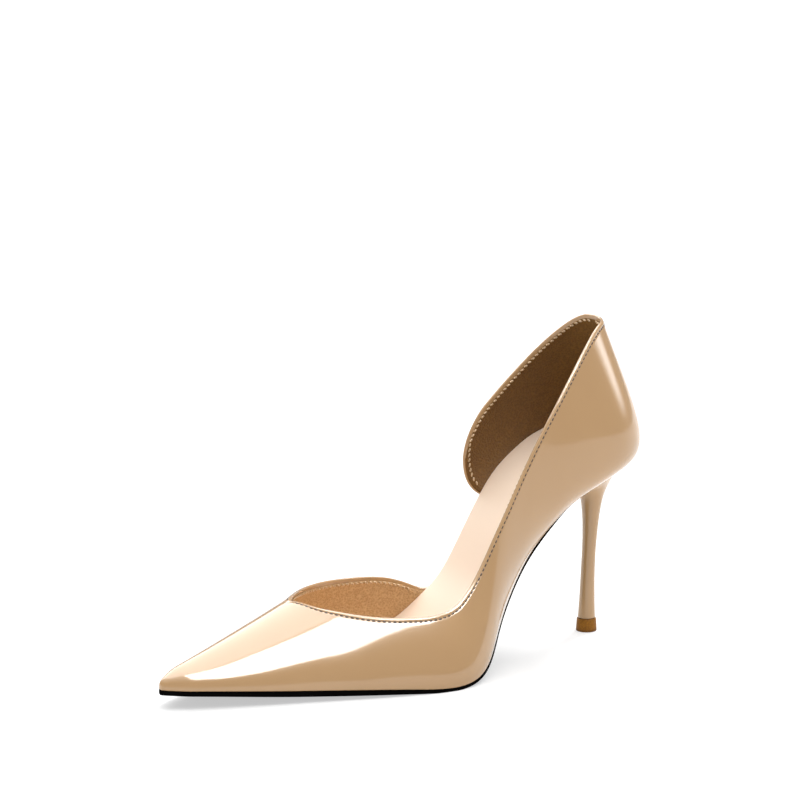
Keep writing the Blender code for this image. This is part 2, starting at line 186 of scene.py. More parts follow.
# The last's crown: the ridge of the vamp, then the line under which the topline is cut.
CROWN = Table("station height", [
    (2, 11.8),
    (20, 17.6),
    (40, 24.6),
    (61, 32.5),
    (70, 36.0),
    (80, 39.8),
    (95, 44.5),
    (110, 49.0),
    (118, 52.0),
    (126, 55.6),
    (134, 60.4),
    (142, 67.0),
    (152, 77.4),
    (162, 89.4),
    (174, 104.0),
    (188, 118.4),
    (204, 127.6),
    (216, 129.4),
    (226, 129.8),
    (236, 130.0),
])

# Each side of the last runs in one curve from the bottom edge up to the crown. The belly is the curve's
# handle at the bottom edge and the shoulder its handle at the crown.
SIDE_COLUMNS = "station crown_out belly_out belly_up shoulder_out shoulder_down"

OUTER_SIDE = Table(SIDE_COLUMNS, [
    (2, 0.0, 0.0, 3.0, 1.2, 0.3),
    (20, 0.0, 0.6, 4.6, 2.9, 0.3),
    (40, 0.0, 1.0, 7.4, 6.6, 0.4),
    (61, 0.0, 1.4, 11.0, 11.0, 0.8),
    (70, 0.0, 1.6, 11.0, 13.9, 0.9),
    (80, 0.5, 1.8, 11.0, 19.4, 1.2),
    (95, 3.0, 2.0, 11.0, 24.2, 2.5),
    (110, 9.0, 2.2, 11.0, 18.8, 5.0),
    (118, 14.5, 2.4, 11.0, 12.9, 7.0),
    (126, 20.5, 3.0, 11.5, 8.4, 9.0),
    (134, 25.0, 4.0, 12.0, 4.8, 11.5),
    (142, 27.0, 5.4, 12.5, 1.6, 13.5),
    (152, 25.8, 7.6, 13.0, 1.0, 15.0),
    (162, 24.4, 9.2, 13.0, 2.0, 16.0),
    (174, 22.4, 10.6, 11.0, 3.2, 18.0),
    (188, 18.4, 13.0, 6.0, 6.0, 22.0),
    (204, 13.6, 16.0, 3.0, 9.5, 28.0),
    (216, 11.6, 17.0, 2.2, 11.4, 32.0),
    (226, 10.6, 17.0, 2.0, 12.0, 33.0),
    (236, 10.2, 17.0, 2.0, 12.2, 33.0),
])

INNER_SIDE = Table(SIDE_COLUMNS, [
    (2, 0.0, 0.0, 3.0, 1.2, 0.3),
    (20, 0.0, 0.6, 5.2, 3.2, 0.3),
    (40, 0.0, 1.0, 8.2, 6.0, 0.5),
    (61, 0.0, 1.4, 11.0, 9.0, 1.0),
    (70, 0.0, 1.6, 11.0, 12.0, 1.1),
    (80, 0.5, 1.8, 11.0, 19.0, 1.4),
    (95, 3.0, 1.8, 11.0, 27.0, 2.5),
    (110, 9.0, 1.6, 11.0, 22.0, 5.0),
    (125, 17.0, 1.6, 11.0, 9.0, 9.0),
    (136, 21.5, 2.2, 11.0, 1.0, 12.0),
    (150, 24.0, 5.5, 12.0, 0.0, 14.0),
    (162, 24.6, 8.4, 12.0, 1.5, 16.0),
    (174, 22.8, 10.4, 11.0, 3.2, 18.0),
    (188, 18.8, 12.6, 6.0, 6.0, 22.0),
    (204, 13.6, 15.6, 3.0, 9.5, 28.0),
    (216, 11.6, 17.0, 2.2, 11.4, 32.0),
    (226, 10.6, 17.0, 2.0, 12.0, 33.0),
    (236, 10.2, 17.0, 2.0, 12.2, 33.0),
])
SIDES = {OUTER: OUTER_SIDE, INNER: INNER_SIDE}

# How much of each side the leather covers, from the bottom edge up to the topline, and how far the topline
# is carried along the shoe from the foot of its section.
CUT_COLUMNS = "station share rake"

OUTER_CUT = Table(CUT_COLUMNS, [
    (61, 1.0, 0.0),
    (64, 0.845, 0.0),
    (70, 0.69, 0.0),
    (80, 0.577, 0.0),
    (95, 0.516, 0.0),
    (110, 0.505, 0.0),
    (118, 0.532, 0.0),
    (126, 0.603, 0.0),
    (134, 0.714, 0.0),
    (142, 0.838, 0.0),
    (152, 0.942, 0.0),
    (162, 0.99, 0.0),
    (174, 1.0, 0.0),
    (236, 1.0, 0.0),
])

VAMP_CUT = Table(CUT_COLUMNS, [
    (61, 1.0, 0.0),
    (64, 0.895, 0.0),
    (70, 0.753, 0.0),
    (80, 0.625, 0.0),
    (95, 0.554, 0.0),
    (110, 0.524, 0.0),
    (118, 0.497, 0.0),
    (126, 0.438, 0.0),
    (134, 0.295, 0.0),
    (140, 0.125, 0.0),
    (144, 0.04, 0.0),
])

COUNTER_CUT = Table(CUT_COLUMNS, [
    (175, 0.614, -10.8),
    (175.4, 0.681, -10.4),
    (176, 0.739, -9.3),
    (177, 0.781, -7.6),
    (180, 0.805, -4.2),
    (184, 0.818, -1.1),
    (192, 0.86, 0.0),
    (204, 0.928, 0.0),
    (216, 0.982, 0.0),
    (226, 1.0, 0.0),
    (236, 1.0, 0.0),
])

# How thick the insole is, how far its edges cup upward, and how high it lies over the bottom edge.
INSOLE = Table("along thick cup bottom", [
    (0, 2.6, 0.0, -0.3),
    (60, 3.4, 0.0, -0.3),
    (90, 4.7, 0.1, -0.3),
    (108, 5.8, 0.2, -0.3),
    (128, 4.2, 0.3, -0.3),
    (140, 2.8, 0.4, -0.3),
    (160, 2.7, 0.6, -0.3),
    (180, 5.8, 1.8, -0.2),
    (194, 7.9, 2.6, 1.0),
    (200, 8.1, 2.8, 1.1),
    (226, 8.6, 2.8, 1.1),
])

# How thick the sole is along its middle and at its edges, how far its edge lies inside the face of the
# leather, and how far it drops under the bottom edge; at the seat it lies between the walls.
OUTSOLE = Table("along middle edge set_back drop", [
    (0, 2.0, 1.8, 0.5, 0.6),
    (50, 3.0, 2.3, 0.5, 0.6),
    (90, 3.2, 1.9, 0.5, 0.6),
    (110, 2.4, 1.4, 0.5, 0.6),
    (120, 2.4, 1.3, 0.5, 0.7),
    (132, 2.2, 1.4, 0.5, 1.05),
    (142, 1.8, 1.5, 0.6, 1.1),
    (152, 1.5, 1.4, 0.8, 1.0),
    (165, 1.5, 1.4, 1.2, 0.95),
    (175, 1.4, 1.4, 1.6, 0.9),
    (185, 1.4, 1.4, 2.1, 0.7),
    (226, 1.4, 1.4, 2.1, 0.7),
])

# The heel from its foot up: the centre and half widths of each section, and how far it leans to the seat.
HEEL = Table("height along half_length half_width slant", [
    (5.7, 206.2, 3.6, 3.6, 0.0),
    (14, 206.4, 3.2, 3.2, 0.0),
    (24, 206.7, 2.95, 2.95, 0.0),
    (34, 207.2, 2.9, 2.9, 0.0),
    (44, 207.8, 3.3, 3.3, 0.0),
    (52, 208.2, 4.1, 4.1, 0.1),
    (58, 208.4, 5.6, 5.6, 0.35),
    (62, 208.1, 8.0, 8.0, 0.7),
    (65, 207.3, 10.6, 10.8, 0.95),
    (69, 206.5, 13.4, 14.0, 1.0),
])


def place(station, out, side):
    """Plan position of a point so far out from the middle line at a station: straight out ahead of the heel,
    then turned about the middle line by up to a quarter turn, which grows as 2t^3 - t^4."""
    share = np.clip((station - TURN_START) / (BACK - TURN_START), 0.0, 1.0)
    swing = 2 * share**3 - share**4
    middle = np.minimum(station, TURN_START) + (BACK - TURN_START) * (share - swing / 2)
    turn = swing * math.pi / 2
    return middle + out * np.sin(turn), side * out * np.cos(turn)


def toe_round(station):
    """Quarter of an ellipse that closes the outline at the tip of the toe: sqrt(1 - (1 - t)^2)."""
    near = np.clip((station - TOE_TIP) / TOE_ROUND, 0.0, 1.0)
    return np.sqrt(1 - (1 - near) ** 2)


def foot_of(station, side):
    """Half width at the foot of the wall: the bottom edge, rounded at the toe, less the tuck of the seat."""
    width = EDGE.read("outer" if side == OUTER else "inner", station)
    return width * toe_round(station) - EDGE.read("tuck", station)


def side_point(side, station, up):
    """One side of the last: a cubic Bezier from the bottom edge (up = 0) by a belly handle and a shoulder
    handle to the crown (up = 1), run on below 0 as the lip; each section is turned to its place in plan."""
    shape = {name: SIDES[side].read(name, station) for name in SIDES[side].column}
    round_off = toe_round(station)
    blunt = TOE_BLUNT + (1 - TOE_BLUNT) * round_off
    foot_out = foot_of(station, side)
    foot_z = PROFILE.read("height", place(station, foot_out, side)[0])
    crown_out = np.where(station > THROAT, shape["crown_out"], 0.0)
    crown_rise = (CROWN.read("height", station) - foot_z) * blunt
    outs = (
        foot_out,
        foot_out + shape["belly_out"] * round_off,
        crown_out + shape["shoulder_out"] * round_off,
        crown_out,
    )
    rises = (0.0, shape["belly_up"] * blunt, crown_rise - shape["shoulder_down"] * round_off, crown_rise)
    down = 1 - up
    weights = (down**3, 3 * down**2 * up, 3 * down * up**2, up**3)
    out = sum(w * p for w, p in zip(weights, outs))
    rise = sum(w * p for w, p in zip(weights, rises))
    base = PROFILE.read("height", place(station, np.where(up < 0, out, foot_out), side)[0])
    x, y = place(station, out, side)
    return np.stack(np.broadcast_arrays(x, y, base + rise), axis=-1)


def slope_length(x):
    """Upright height that a millimetre square to the bottom takes up: sqrt(1 + slope^2)."""
    rise = (PROFILE.read("height", x + SHORT) - PROFILE.read("height", x - SHORT)) / (2 * SHORT)
    return np.sqrt(1 + rise**2)


def climb_speed(side, station, share):
    """Millimetres along a side's curve for each whole share of it, just below a share."""
    climb = side_point(side, station, share) - side_point(side, station, share - NEAR)
    return np.linalg.norm(climb, axis=-1) / NEAR


# Meshes


def tip_steps(count):
    """Stations of the rounded tip, spaced evenly along its quarter ellipse: tip + length (1 - cos t)."""
    return TOE_TIP + TOE_ROUND * (1 - np.cos(np.linspace(0, math.pi / 2, count)))


def spread(*stops):
    """Stations between stops given as (station, count) pairs, each count leading up to its station."""
    pieces = [np.linspace(a, b, n + 1)[1:] for (a, _), (b, n) in zip(stops, stops[1:])]
    return np.concatenate([[stops[0][0]], *pieces])


def unit(vectors):
    """Vectors scaled to length one; a zero vector stays zero."""
    return vectors / np.maximum(np.linalg.norm(vectors, axis=-1, keepdims=True), TINY)


def circle_angles(count):
    """Angles of so many points spaced evenly round a circle."""
    return np.linspace(0, 2 * math.pi, count, endpoint=False)


def grid_quads(columns, rows, first):
    """Four corners of each face of a grid of points numbered row by row."""
    index = first + np.arange(columns * rows).reshape(columns, rows)
    return np.stack((index[:-1, :-1], index[1:, :-1], index[1:, 1:], index[:-1, 1:]), axis=-1).reshape(-1, 4)


def weld(points, quads, *values):
    """Points that fall together become one; a value carried by several of them takes the least."""
    _, first, same = np.unique(np.round(points, WELD_DIGITS), axis=0, return_index=True, return_inverse=True)
    same = same.reshape(-1)
    joined = []
    for value in values:
        least = np.full(len(first), np.inf)
        np.minimum.at(least, same, value)
        joined.append(least)
    return points[first], same[quads], *joined


def normals_of(points, quads):
    """Unit normals at the points: the sum of the cross products of each face's diagonals."""
    a, b, c, d = (points[quads[:, i]] for i in range(4))
    face = np.cross(c - a, d - b)
    total = np.zeros_like(points)
    np.add.at(total, quads.reshape(-1), np.repeat(face, 4, axis=0))
    return unit(total)


def border_of(quads):
    """Directed edges that only one face has."""
    edges = np.stack((quads, np.roll(quads, -1, axis=1)), axis=-1).reshape(-1, 2)
    key = np.sort(edges, axis=1)
    _, which, count = np.unique(key, axis=0, return_inverse=True, return_counts=True)
    return edges[count[which.reshape(-1)] == 1]


def thicken(points, quads, inside, outside, bulge, turns):
    """A closed shell on a sheet: one layer at the offset inside, one at outside along the normals, joined at
    the border by half an ellipse in so many turns that bulges so far past the edge."""
    normal = normals_of(points, quads)
    border = border_of(quads)
    rim = np.unique(border)
    ahead = points[border[:, 1]] - points[border[:, 0]]
    away = np.zeros_like(points)
    outward = np.cross(ahead, normal[border[:, 0]])
    np.add.at(away, border.reshape(-1), np.repeat(outward, 2, axis=0))
    away = unit(away[rim])
    inner = points + normal * inside[:, None]
    outer = points + normal * outside[:, None]
    angle = np.linspace(0, math.pi, turns + 1)[1:-1, None, None]
    low, high = inner[rim], outer[rim]
    arcs = (low + high) / 2 + (low - high) / 2 * np.cos(angle) + away * bulge * np.sin(angle)
    count = len(points)
    place_in_rim = np.full(count, -1)
    place_in_rim[rim] = np.arange(len(rim))
    a, b = place_in_rim[border[:, 0]], place_in_rim[border[:, 1]]
    rings = [rim, *(2 * count + len(rim) * k + np.arange(len(rim)) for k in range(turns - 1)), rim + count]
    strips = [np.stack((hi[b], hi[a], lo[a], lo[b]), axis=1) for lo, hi in zip(rings, rings[1:])]
    verts = np.concatenate((inner, outer, arcs.reshape(-1, 3)))
    return verts, np.concatenate((quads[:, ::-1], quads + count, *strips))


def tube_quads(rings, sides):
    """Faces of a closed loop of points carried through rings."""
    index = np.arange(rings * sides).reshape(rings, sides)
    turn = np.roll(index, -1, axis=1)
    return np.stack((index[:-1], turn[:-1], turn[1:], index[1:]), axis=-1).reshape(-1, 4)


def loft(rings):
    """A closed body through rings of points of equal counts, its ends closed by fans about their middles."""
    count, sides = rings.shape[:2]
    middles = rings[[0, -1]].mean(axis=1)
    points = np.concatenate((rings.reshape(-1, 3), middles))
    side = np.arange(sides)
    ahead = np.roll(side, -1)
    start = np.stack((ahead, side, np.full(sides, count * sides)), axis=1)
    last = (count - 1) * sides
    end = np.stack((side + last, ahead + last, np.full(sides, count * sides + 1)), axis=1)
    return points, tube_quads(count, sides), np.concatenate((start, end))


def signed_volume(points, faces):
    """Six times the volume under the faces, from the triple products of fans at each first corner."""
    fans = [points[faces[:, [0, i, i + 1]]] for i in range(1, faces.shape[1] - 1)]
    return sum(np.einsum("ij,ij->", f[:, 0], np.cross(f[:, 1], f[:, 2])) for f in fans)


def make_piece(name, points, faces, material, replaced=(), sharp=ALL_SMOOTH):
    """A finished piece from points in millimetres and arrays of faces, all facing in or all out: turned
    outward, smooth below the sharp angle in degrees, with its material and body."""
    if sum(signed_volume(points, some) for some in faces) < 0:
        faces = [some[:, ::-1] for some in faces]
    mesh = bpy.data.meshes.new(name)
    polygons = [face for some in faces for face in some.tolist()]
    mesh.from_pydata(((points - CENTRE) * MM).tolist(), [], polygons)
    mesh.update()
    mesh.polygons.foreach_set("use_smooth", np.ones(len(polygons), bool))
    mesh.set_sharp_from_angle(angle=math.radians(sharp))
    mesh.materials.append(material)
    piece = bpy.data.objects.new(name, mesh)
    bpy.context.scene.collection.objects.link(piece)
    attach(piece, "root")
    if replaced:
        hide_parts(*replaced)


# Materials


def node(tree, kind, settings=None, **inputs):
    """Adds a node, sets its properties and fills its sockets by name or, as i0, i1, by number: a socket is
    linked and anything else becomes its value."""
    made = tree.nodes.new(kind)
    for key, value in (settings or {}).items():
        setattr(made, key, value)
    for key, value in inputs.items():
        by_number = key[0] == "i" and key[1:].isdigit()
        target = made.inputs[int(key[1:])] if by_number else made.inputs[key.replace("_", " ")]
        if isinstance(value, bpy.types.NodeSocket):
            tree.links.new(value, target)
        else:
            target.default_value = value
    return made


def new_material(name):
    """A material with nothing in its tree but the piece's own coordinates in metres."""
    material = bpy.data.materials.new(name)
    material.use_nodes = True
    tree = material.node_tree
    tree.nodes.clear()
    where = node(tree, "ShaderNodeTexCoord").outputs["Object"]
    return material, tree, where


def finish_material(tree, base, height, strength, depth, normals=("Normal",), **sockets):
    """Ends a material: a relief of so many millimetres from the height, and the shader with its output."""
    relief = node(tree, "ShaderNodeBump", Height=height, Strength=strength, Distance=depth * MM)
    sockets.update(dict.fromkeys(normals, relief.outputs["Normal"]))
    shader = node(tree, "ShaderNodeBsdfPrincipled", Base_Color=base, **sockets)
    node(tree, "ShaderNodeOutputMaterial", Surface=shader.outputs["BSDF"])


def per_metre(millimetres):
    """Texture scale whose features are about so many millimetres across."""
    return 1.0 / (millimetres * MM)


# Settings of nodes
MIXED = {"data_type": "RGBA"}
SHADED = {"data_type": "RGBA", "blend_type": "MULTIPLY"}
ADDED = {"operation": "ADD"}
MULTIPLIED = {"operation": "MULTIPLY"}
SMOOTHED = {"interpolation_type": "SMOOTHSTEP"}


def patent_leather(name, colour, deep, blur):
    """Patent leather, a dyed hide under a poured clear lacquer: an even colour with clouds that hardly show,
    mirror gloss, and waves about 6 mm long in the lacquer that barely bend what it reflects."""
    material, tree, where = new_material(name)
    cloud = node(tree, "ShaderNodeTexNoise", Vector=where, Scale=per_metre(28), Detail=2.0)
    tone = node(tree, "ShaderNodeMix", MIXED, i0=cloud.outputs["Fac"], i6=deep, i7=colour)
    wave = node(tree, "ShaderNodeTexNoise", Vector=where, Scale=per_metre(6), Detail=1.0)
    hide = {"Roughness": 0.2, "IOR": 1.5, "Specular_IOR_Level": 0.15}
    lacquer = {"Coat_Weight": 1.0, "Coat_Roughness": blur, "Coat_IOR": 1.5}
    relief = {"strength": 0.05, "depth": 0.1, "normals": ("Normal", "Coat_Normal")}
    finish_material(tree, tone.outputs[2], wave.outputs["Fac"], **relief, **hide, **lacquer)
    return material


def suede_lining(name, colour, deep, shade, painted_shade_start):
    """Pigskin lining with its flesh side worn smooth: matt and mottled; past a start along the shoe it is
    multiplied by a darker colour, painted shade for the deep inside of the counter. Its pores and nap, about
    0.3 mm, are drawn coarser so that they show."""
    material, tree, where = new_material(name)
    pores = node(tree, "ShaderNodeTexVoronoi", Vector=where, Scale=per_metre(0.8))
    nap = node(tree, "ShaderNodeTexNoise", Vector=where, Scale=per_metre(0.7), Detail=3.0, Roughness=0.6)
    height = node(tree, "ShaderNodeMath", ADDED, i0=pores.outputs["Distance"], i1=nap.outputs["Fac"])
    mottle = node(tree, "ShaderNodeMapRange", Value=height.outputs[0], From_Min=0.5, From_Max=1.3)
    tone = node(tree, "ShaderNodeMix", MIXED, i0=mottle.outputs[0], i6=deep, i7=colour)
    # Painted shade: past its start along the shoe the lining is multiplied by a darker colour, for the shade
    # deep inside the counter.
    along = node(tree, "ShaderNodeSeparateXYZ", Vector=where).outputs["X"]
    shade_full = painted_shade_start + 0.5 * MM
    past = node(tree, "ShaderNodeMapRange", Value=along, From_Min=painted_shade_start, From_Max=shade_full)
    dyed = node(tree, "ShaderNodeMix", SHADED, i0=past.outputs[0], i6=tone.outputs[2], i7=shade)
    suede = {"Roughness": 0.75, "Specular_IOR_Level": 0.3}
    finish_material(tree, dyed.outputs[2], height.outputs[0], strength=0.7, depth=0.3, **suede)
    return material


def sock_leather(name, colour, deep):
    """Fine calf sock, finished smooth: pale, satin, with a grain that barely shows. The grain, about 0.3 mm,
    is drawn coarser so that it shows at all."""
    material, tree, where = new_material(name)
    cloud = node(tree, "ShaderNodeTexNoise", Vector=where, Scale=per_metre(35), Detail=2.0)
    grain = node(tree, "ShaderNodeTexNoise", Vector=where, Scale=per_metre(0.8), Detail=3.0)
    tone = node(tree, "ShaderNodeMix", MIXED, i0=cloud.outputs["Fac"], i6=deep, i7=colour)
    satin = {"Roughness": 0.45, "Specular_IOR_Level": 0.4}
    finish_material(tree, tone.outputs[2], grain.outputs["Fac"], strength=0.15, depth=0.1, **satin)
    return material


def sole_leather(name, colour, deep):
    """Sole leather, dyed and inked: near black and dead matt, also at a glance along it, with scuffs of 3 by
    14 mm across it."""
    material, tree, where = new_material(name)
    across = (per_metre(3), per_metre(14), per_metre(3))
    stretched = node(tree, "ShaderNodeMapping", Vector=where, Scale=across)
    scuff = node(tree, "ShaderNodeTexNoise", Vector=stretched.outputs[0], Scale=1.0, Detail=3.0)
    tone = node(tree, "ShaderNodeMix", MIXED, i0=scuff.outputs["Fac"], i6=deep, i7=colour)
    matt = {"Roughness": 0.7, "Specular_IOR_Level": 0.0}
    finish_material(tree, tone.outputs[2], scuff.outputs["Fac"], strength=0.1, depth=0.1, **matt)
    return material


def hard_rubber(name, colour, deep):
    """Moulded polyurethane lift: brown, dull, speckled from the mould and darker where it meets the floor.
    The specks, about 0.3 mm, are drawn coarser so that they show."""
    material, tree, where = new_material(name)
    speck = node(tree, "ShaderNodeTexNoise", Vector=where, Scale=per_metre(0.7), Detail=2.0)
    height = node(tree, "ShaderNodeSeparateXYZ", Vector=where).outputs["Z"]
    # The specks give way to the deeper tone within 1.6 mm of the floor, so the lift is darker toward its
    # foot.
    off_floor = node(tree, "ShaderNodeMapRange", Value=height, From_Min=0.2 * MM, From_Max=1.6 * MM)
    speck_off_floor = node(tree, "ShaderNodeMath", MULTIPLIED, i0=speck.outputs["Fac"], i1=off_floor.outputs[0])
    tone = node(tree, "ShaderNodeMix", MIXED, i0=speck_off_floor.outputs[0], i6=deep, i7=colour)
    dull = {"Roughness": 0.5, "Specular_IOR_Level": 0.15}
    finish_material(tree, tone.outputs[2], speck.outputs["Fac"], strength=0.15, depth=0.1, **dull)
    return material


def sewing_thread(name, colour, deep):
    """Bonded polyester sewing thread: two plies that wind round it, satin. The wave's bands lie about a third
    of its scale apart, 0.8 mm here; the twist, about 0.5 mm, is drawn that much coarser so that it shows."""
    material, tree, where = new_material(name)
    plies = node(tree, "ShaderNodeTexWave", Vector=where, Scale=per_metre(2.5), Distortion=1.0)
    tone = node(tree, "ShaderNodeMix", MIXED, i0=plies.outputs["Fac"], i6=deep, i7=colour)
    finish_material(tree, tone.outputs[2], plies.outputs["Fac"], strength=0.3, depth=0.1, Roughness=0.55)
    return material


def light_table(name, colour, glow):
    """Opal acrylic of a light table: matt, pale, lit from below. Its tooth, under 1 mm, is drawn coarser so
    that it shows at all."""
    material, tree, where = new_material(name)
    tooth = node(tree, "ShaderNodeTexNoise", Vector=where, Scale=per_metre(4), Detail=2.0)
    opal = {"Roughness": 0.9, "Specular_IOR_Level": 0.1, "Emission_Color": colour, "Emission_Strength": glow}
    finish_material(tree, colour, tooth.outputs["Fac"], strength=0.02, depth=0.1, **opal)
    return material


# Upper

# Stations of the patent leather in each stretch of the wall, from the tip to the middle of the back.
TIP_STEPS = 24
TOE_STEPS = 56
THROAT_STEPS = 26
SIDE_STEPS = 110
SEAT_STEPS = 100
VAMP_STEPS = 92
FRONT_STEPS = 14
COUNTER_STEPS = 78
BACK_STEPS = 12
THROAT_SPAN = 9.0  # finer stations past the throat
FRONT_SPAN = 3.0  # finer stations at the counter's front edge
BACK_SPAN = 3.0  # finer stations at the back seam
PATENT_ROWS = (38, 14)  # rows below the edge band and in it
LINING_ROWS = (24, 8)
LINING_FINE = 0.5  # the lining's stations, as a share of the patent leather's
FOLD_TURNS = 6  # steps round the folded edge
LINING_TURNS = 2
ROW_SPREAD = 1.3  # above 1 crowds the rows toward the bottom edge
EDGE_BAND = 4.0  # finer rows below the topline
SEAM_WIDTH = 0.45  # of the furrow that the stitches pull
BACK_SEAM_WIDTH = 0.35  # of the furrow down the middle of the back
EDGE_THIN = 3.0  # the wall thins toward the topline over this
LINING_LOW = -0.3  # the lining's inner and outer face, from the last
LINING_HIGH = -0.03
LINING_ROUND = 0.1  # how far its edge rounds over
LINING_TRIM = 0.9  # the lining ends this far below the topline


def raked(row):
    """Share of the rake that a row of the wall has: r (2 - r), which levels off at the topline."""
    return row * (2 - row)


def wall_sheet(side, cut, stations, low_rows, edge_rows, trim):
    """One side of the wall as a grid of stations and rows: rows crowd toward the foot up to the edge band,
    then run evenly to the topline, less the trim. Also gives each point's distance from the topline."""
    stations = stations[:, None]
    share = np.minimum(cut.read("share", stations), 1.0)
    lip = np.maximum(LIP.read("share", stations), 0.0)
    rake = cut.read("rake", stations)
    speed = climb_speed(side, stations, share)
    reach = np.minimum(EDGE_BAND / speed, (share + lip) / 2)
    cut_off = np.where(stations < THROAT, 0.0, np.minimum(trim / speed, reach / 2))
    rise = np.linspace(0, 1, low_rows + 1)[None, :-1] ** ROW_SPREAD
    low = -lip + (share - reach + lip) * rise
    high = share - reach + (reach - cut_off) * np.linspace(0, 1, edge_rows + 1)[None, :]
    up = np.concatenate((low, high), axis=1)
    row = (up + lip) / (share + lip)
    points = side_point(side, stations + rake * raked(row), up)
    below = (share - up) * speed
    before = np.maximum(THROAT - stations, 0.0)
    return points, np.hypot(below, before)


def upper_sheet(low_rows, edge_rows, fine=1.0, trim=0.0):
    """The whole wall in one welded sheet on the last's surface: outer side, inner vamp and inner counter.
    Also gives each point's distance from the topline and from the middle of the back."""
    tip = tip_steps(int(TIP_STEPS * fine) + 1)
    toe = np.append(tip[:-1], spread((tip[-1], 0), (THROAT, int(TOE_STEPS * fine))))[:-1]
    throat = ((THROAT, 0), (THROAT + THROAT_SPAN, int(THROAT_STEPS * fine)))
    front = ((COUNTER_START, 0), (COUNTER_START + FRONT_SPAN, int(FRONT_STEPS * fine)))
    seam = BACK - BACK_SPAN
    back = (BACK, BACK_STEPS)
    outer = spread(*throat, (TURN_START, int(SIDE_STEPS * fine)), (seam, int(SEAT_STEPS * fine)), back)
    vamp = spread(*throat, (WING_END, int(VAMP_STEPS * fine)))
    counter = spread(*front, (seam, int(COUNTER_STEPS * fine)), back)
    parts = (
        (OUTER, OUTER_CUT, np.append(toe, outer)),
        (INNER, VAMP_CUT, np.append(toe, vamp)),
        (INNER, COUNTER_CUT, counter),
    )
    points, quads, nears, backs = [], [], [], []
    first = 0
    for side, cut, stations in parts:
        grid, near = wall_sheet(side, cut, stations, low_rows, edge_rows, trim)
        if cut is COUNTER_CUT:
            ahead = np.linalg.norm(np.diff(grid, axis=0, prepend=grid[:1]), axis=-1).cumsum(axis=0)
            near = np.minimum(near, ahead)
        faces = grid_quads(*grid.shape[:2], first)
        quads.append(faces if side == OUTER else faces[:, ::-1])
        points.append(grid.reshape(-1, 3))
        nears.append(near.reshape(-1))
        backs.append(np.broadcast_to(BACK - stations[:, None], near.shape).reshape(-1))
        first += len(points[-1])
    return weld(*(np.concatenate(column) for column in (points, quads, nears, backs)))


def furrow(distance, width):
    """Depth from 0 to 1 of a furrow with soft sides: a bell curve of the distance from its line."""
    return np.exp(-((distance / width) ** 2))


def thinning(near, most):
    """How much thinner the wall is near the topline: the most at its edge, falling off as a parabola."""
    return most * np.clip(1 - near / EDGE_THIN, 0, 1) ** 2


class PUMP_OT_upper(bpy.types.Operator):
    """Patent leather wall with its folded topline and back seam, and the lining inside it"""

    bl_idname = "pump.upper"
    bl_label = "Upper and Lining"

    def execute(self, context):
        size = context.scene.pump_upper
        patent = patent_leather("patent_leather", size.patent_colour, size.patent_deep, size.gloss_blur)
        # The lining's tones, then the colour and start of the painted shade inside the counter.
        suede = (size.lining_colour, size.lining_deep, size.painted_shade_colour, size.painted_shade_start)
        lining = suede_lining("suede_lining", *suede)
        seam = size.seam_inset / MM
        thin = size.edge_thinning / MM
        points, quads, near, back = upper_sheet(*PATENT_ROWS)
        puff = size.fold_puff / MM * np.sin(np.pi * np.clip(near / seam, 0, 1))
        furrows = np.maximum(furrow(near - seam, SEAM_WIDTH), furrow(back, BACK_SEAM_WIDTH))
        face = WALL + puff - size.seam_depth / MM * furrows
        fold = size.fold_round / MM
        verts, faces = thicken(points, quads, thinning(near, thin), face, fold, FOLD_TURNS)
        make_piece("upper_patent", verts, [faces], patent, ("upper",))
        points, quads, near, _ = upper_sheet(*LINING_ROWS, LINING_FINE, LINING_TRIM)
        low, high = (thinning(near, thin) + offset for offset in (LINING_LOW, LINING_HIGH))
        verts, faces = thicken(points, quads, low, high, LINING_ROUND, LINING_TURNS)
        make_piece("upper_lining", verts, [faces], lining)
        return {"FINISHED"}


# Stitches

SEAM_START = 0.6  # past the throat
VAMP_SEAM_END = 136.0  # station of the last stitch on the inner vamp
FRONT_SEAM_FOOT = 0.4  # share of the counter's front edge below its first stitch
LINE_POINTS = 600  # along each seam, before it is cut into stitches
STITCH_RINGS = 5  # along a stitch
STITCH_SIDES = 8  # round it
STITCH_END = math.radians(86)  # short of a right angle, so that a stitch's ends stay blunt


def topline_seam(side, cut, stations, inset):
    """Stations and shares of a line so far below the topline."""
    share = np.minimum(cut.read("share", stations), 1.0)
    return stations + cut.read("rake", stations), share - inset / climb_speed(side, stations, share)


def counter_seam(inset):
    """Stations and shares of the line so far inside the inner counter: up along its front edge, then back
    along its topline, from where the two meet."""
    stations = np.linspace(COUNTER_START, BACK, LINE_POINTS)
    top_at, top_up = topline_seam(INNER, COUNTER_CUT, stations, inset)
    row = np.linspace(FRONT_SEAM_FOOT, 1, LINE_POINTS)
    front_at = COUNTER_START + COUNTER_CUT.read("rake", COUNTER_START) * raked(row) + inset
    front_up = COUNTER_CUT.read("share", COUNTER_START) * row
    ahead = top_at > front_at[-1]
    below = front_up < top_up[ahead][0]
    return np.append(front_at[below], top_at[ahead]), np.append(front_up[below], top_up[ahead])


def surface_frame(side, stations, up):
    """Points and unit outward normals on one side of the last, the normals by central differences."""
    here = side_point(side, stations, up)
    climb = side_point(side, stations, up + NEAR) - side_point(side, stations, up - NEAR)
    along = side_point(side, stations + SHORT, up) - side_point(side, stations - SHORT, up)
    return here, unit(np.cross(along, climb) * -side)


def even_steps(points, normals, pitch):
    """Places, directions and normals a pitch apart along a line of points, by its running length."""
    run = np.append(0.0, np.linalg.norm(np.diff(points, axis=0), axis=1).cumsum())
    at = np.arange(pitch / 2, run[-1] - pitch / 2, pitch)
    here, ahead, normal = (
        np.stack([np.interp(where, run, line[:, i]) for i in range(3)], axis=1)
        for where, line in ((at, points), (at + SHORT, points), (at, normals))
    )
    ahead -= here
    ahead -= normal * np.sum(ahead * normal, axis=1, keepdims=True)
    return here, unit(ahead), unit(normal)


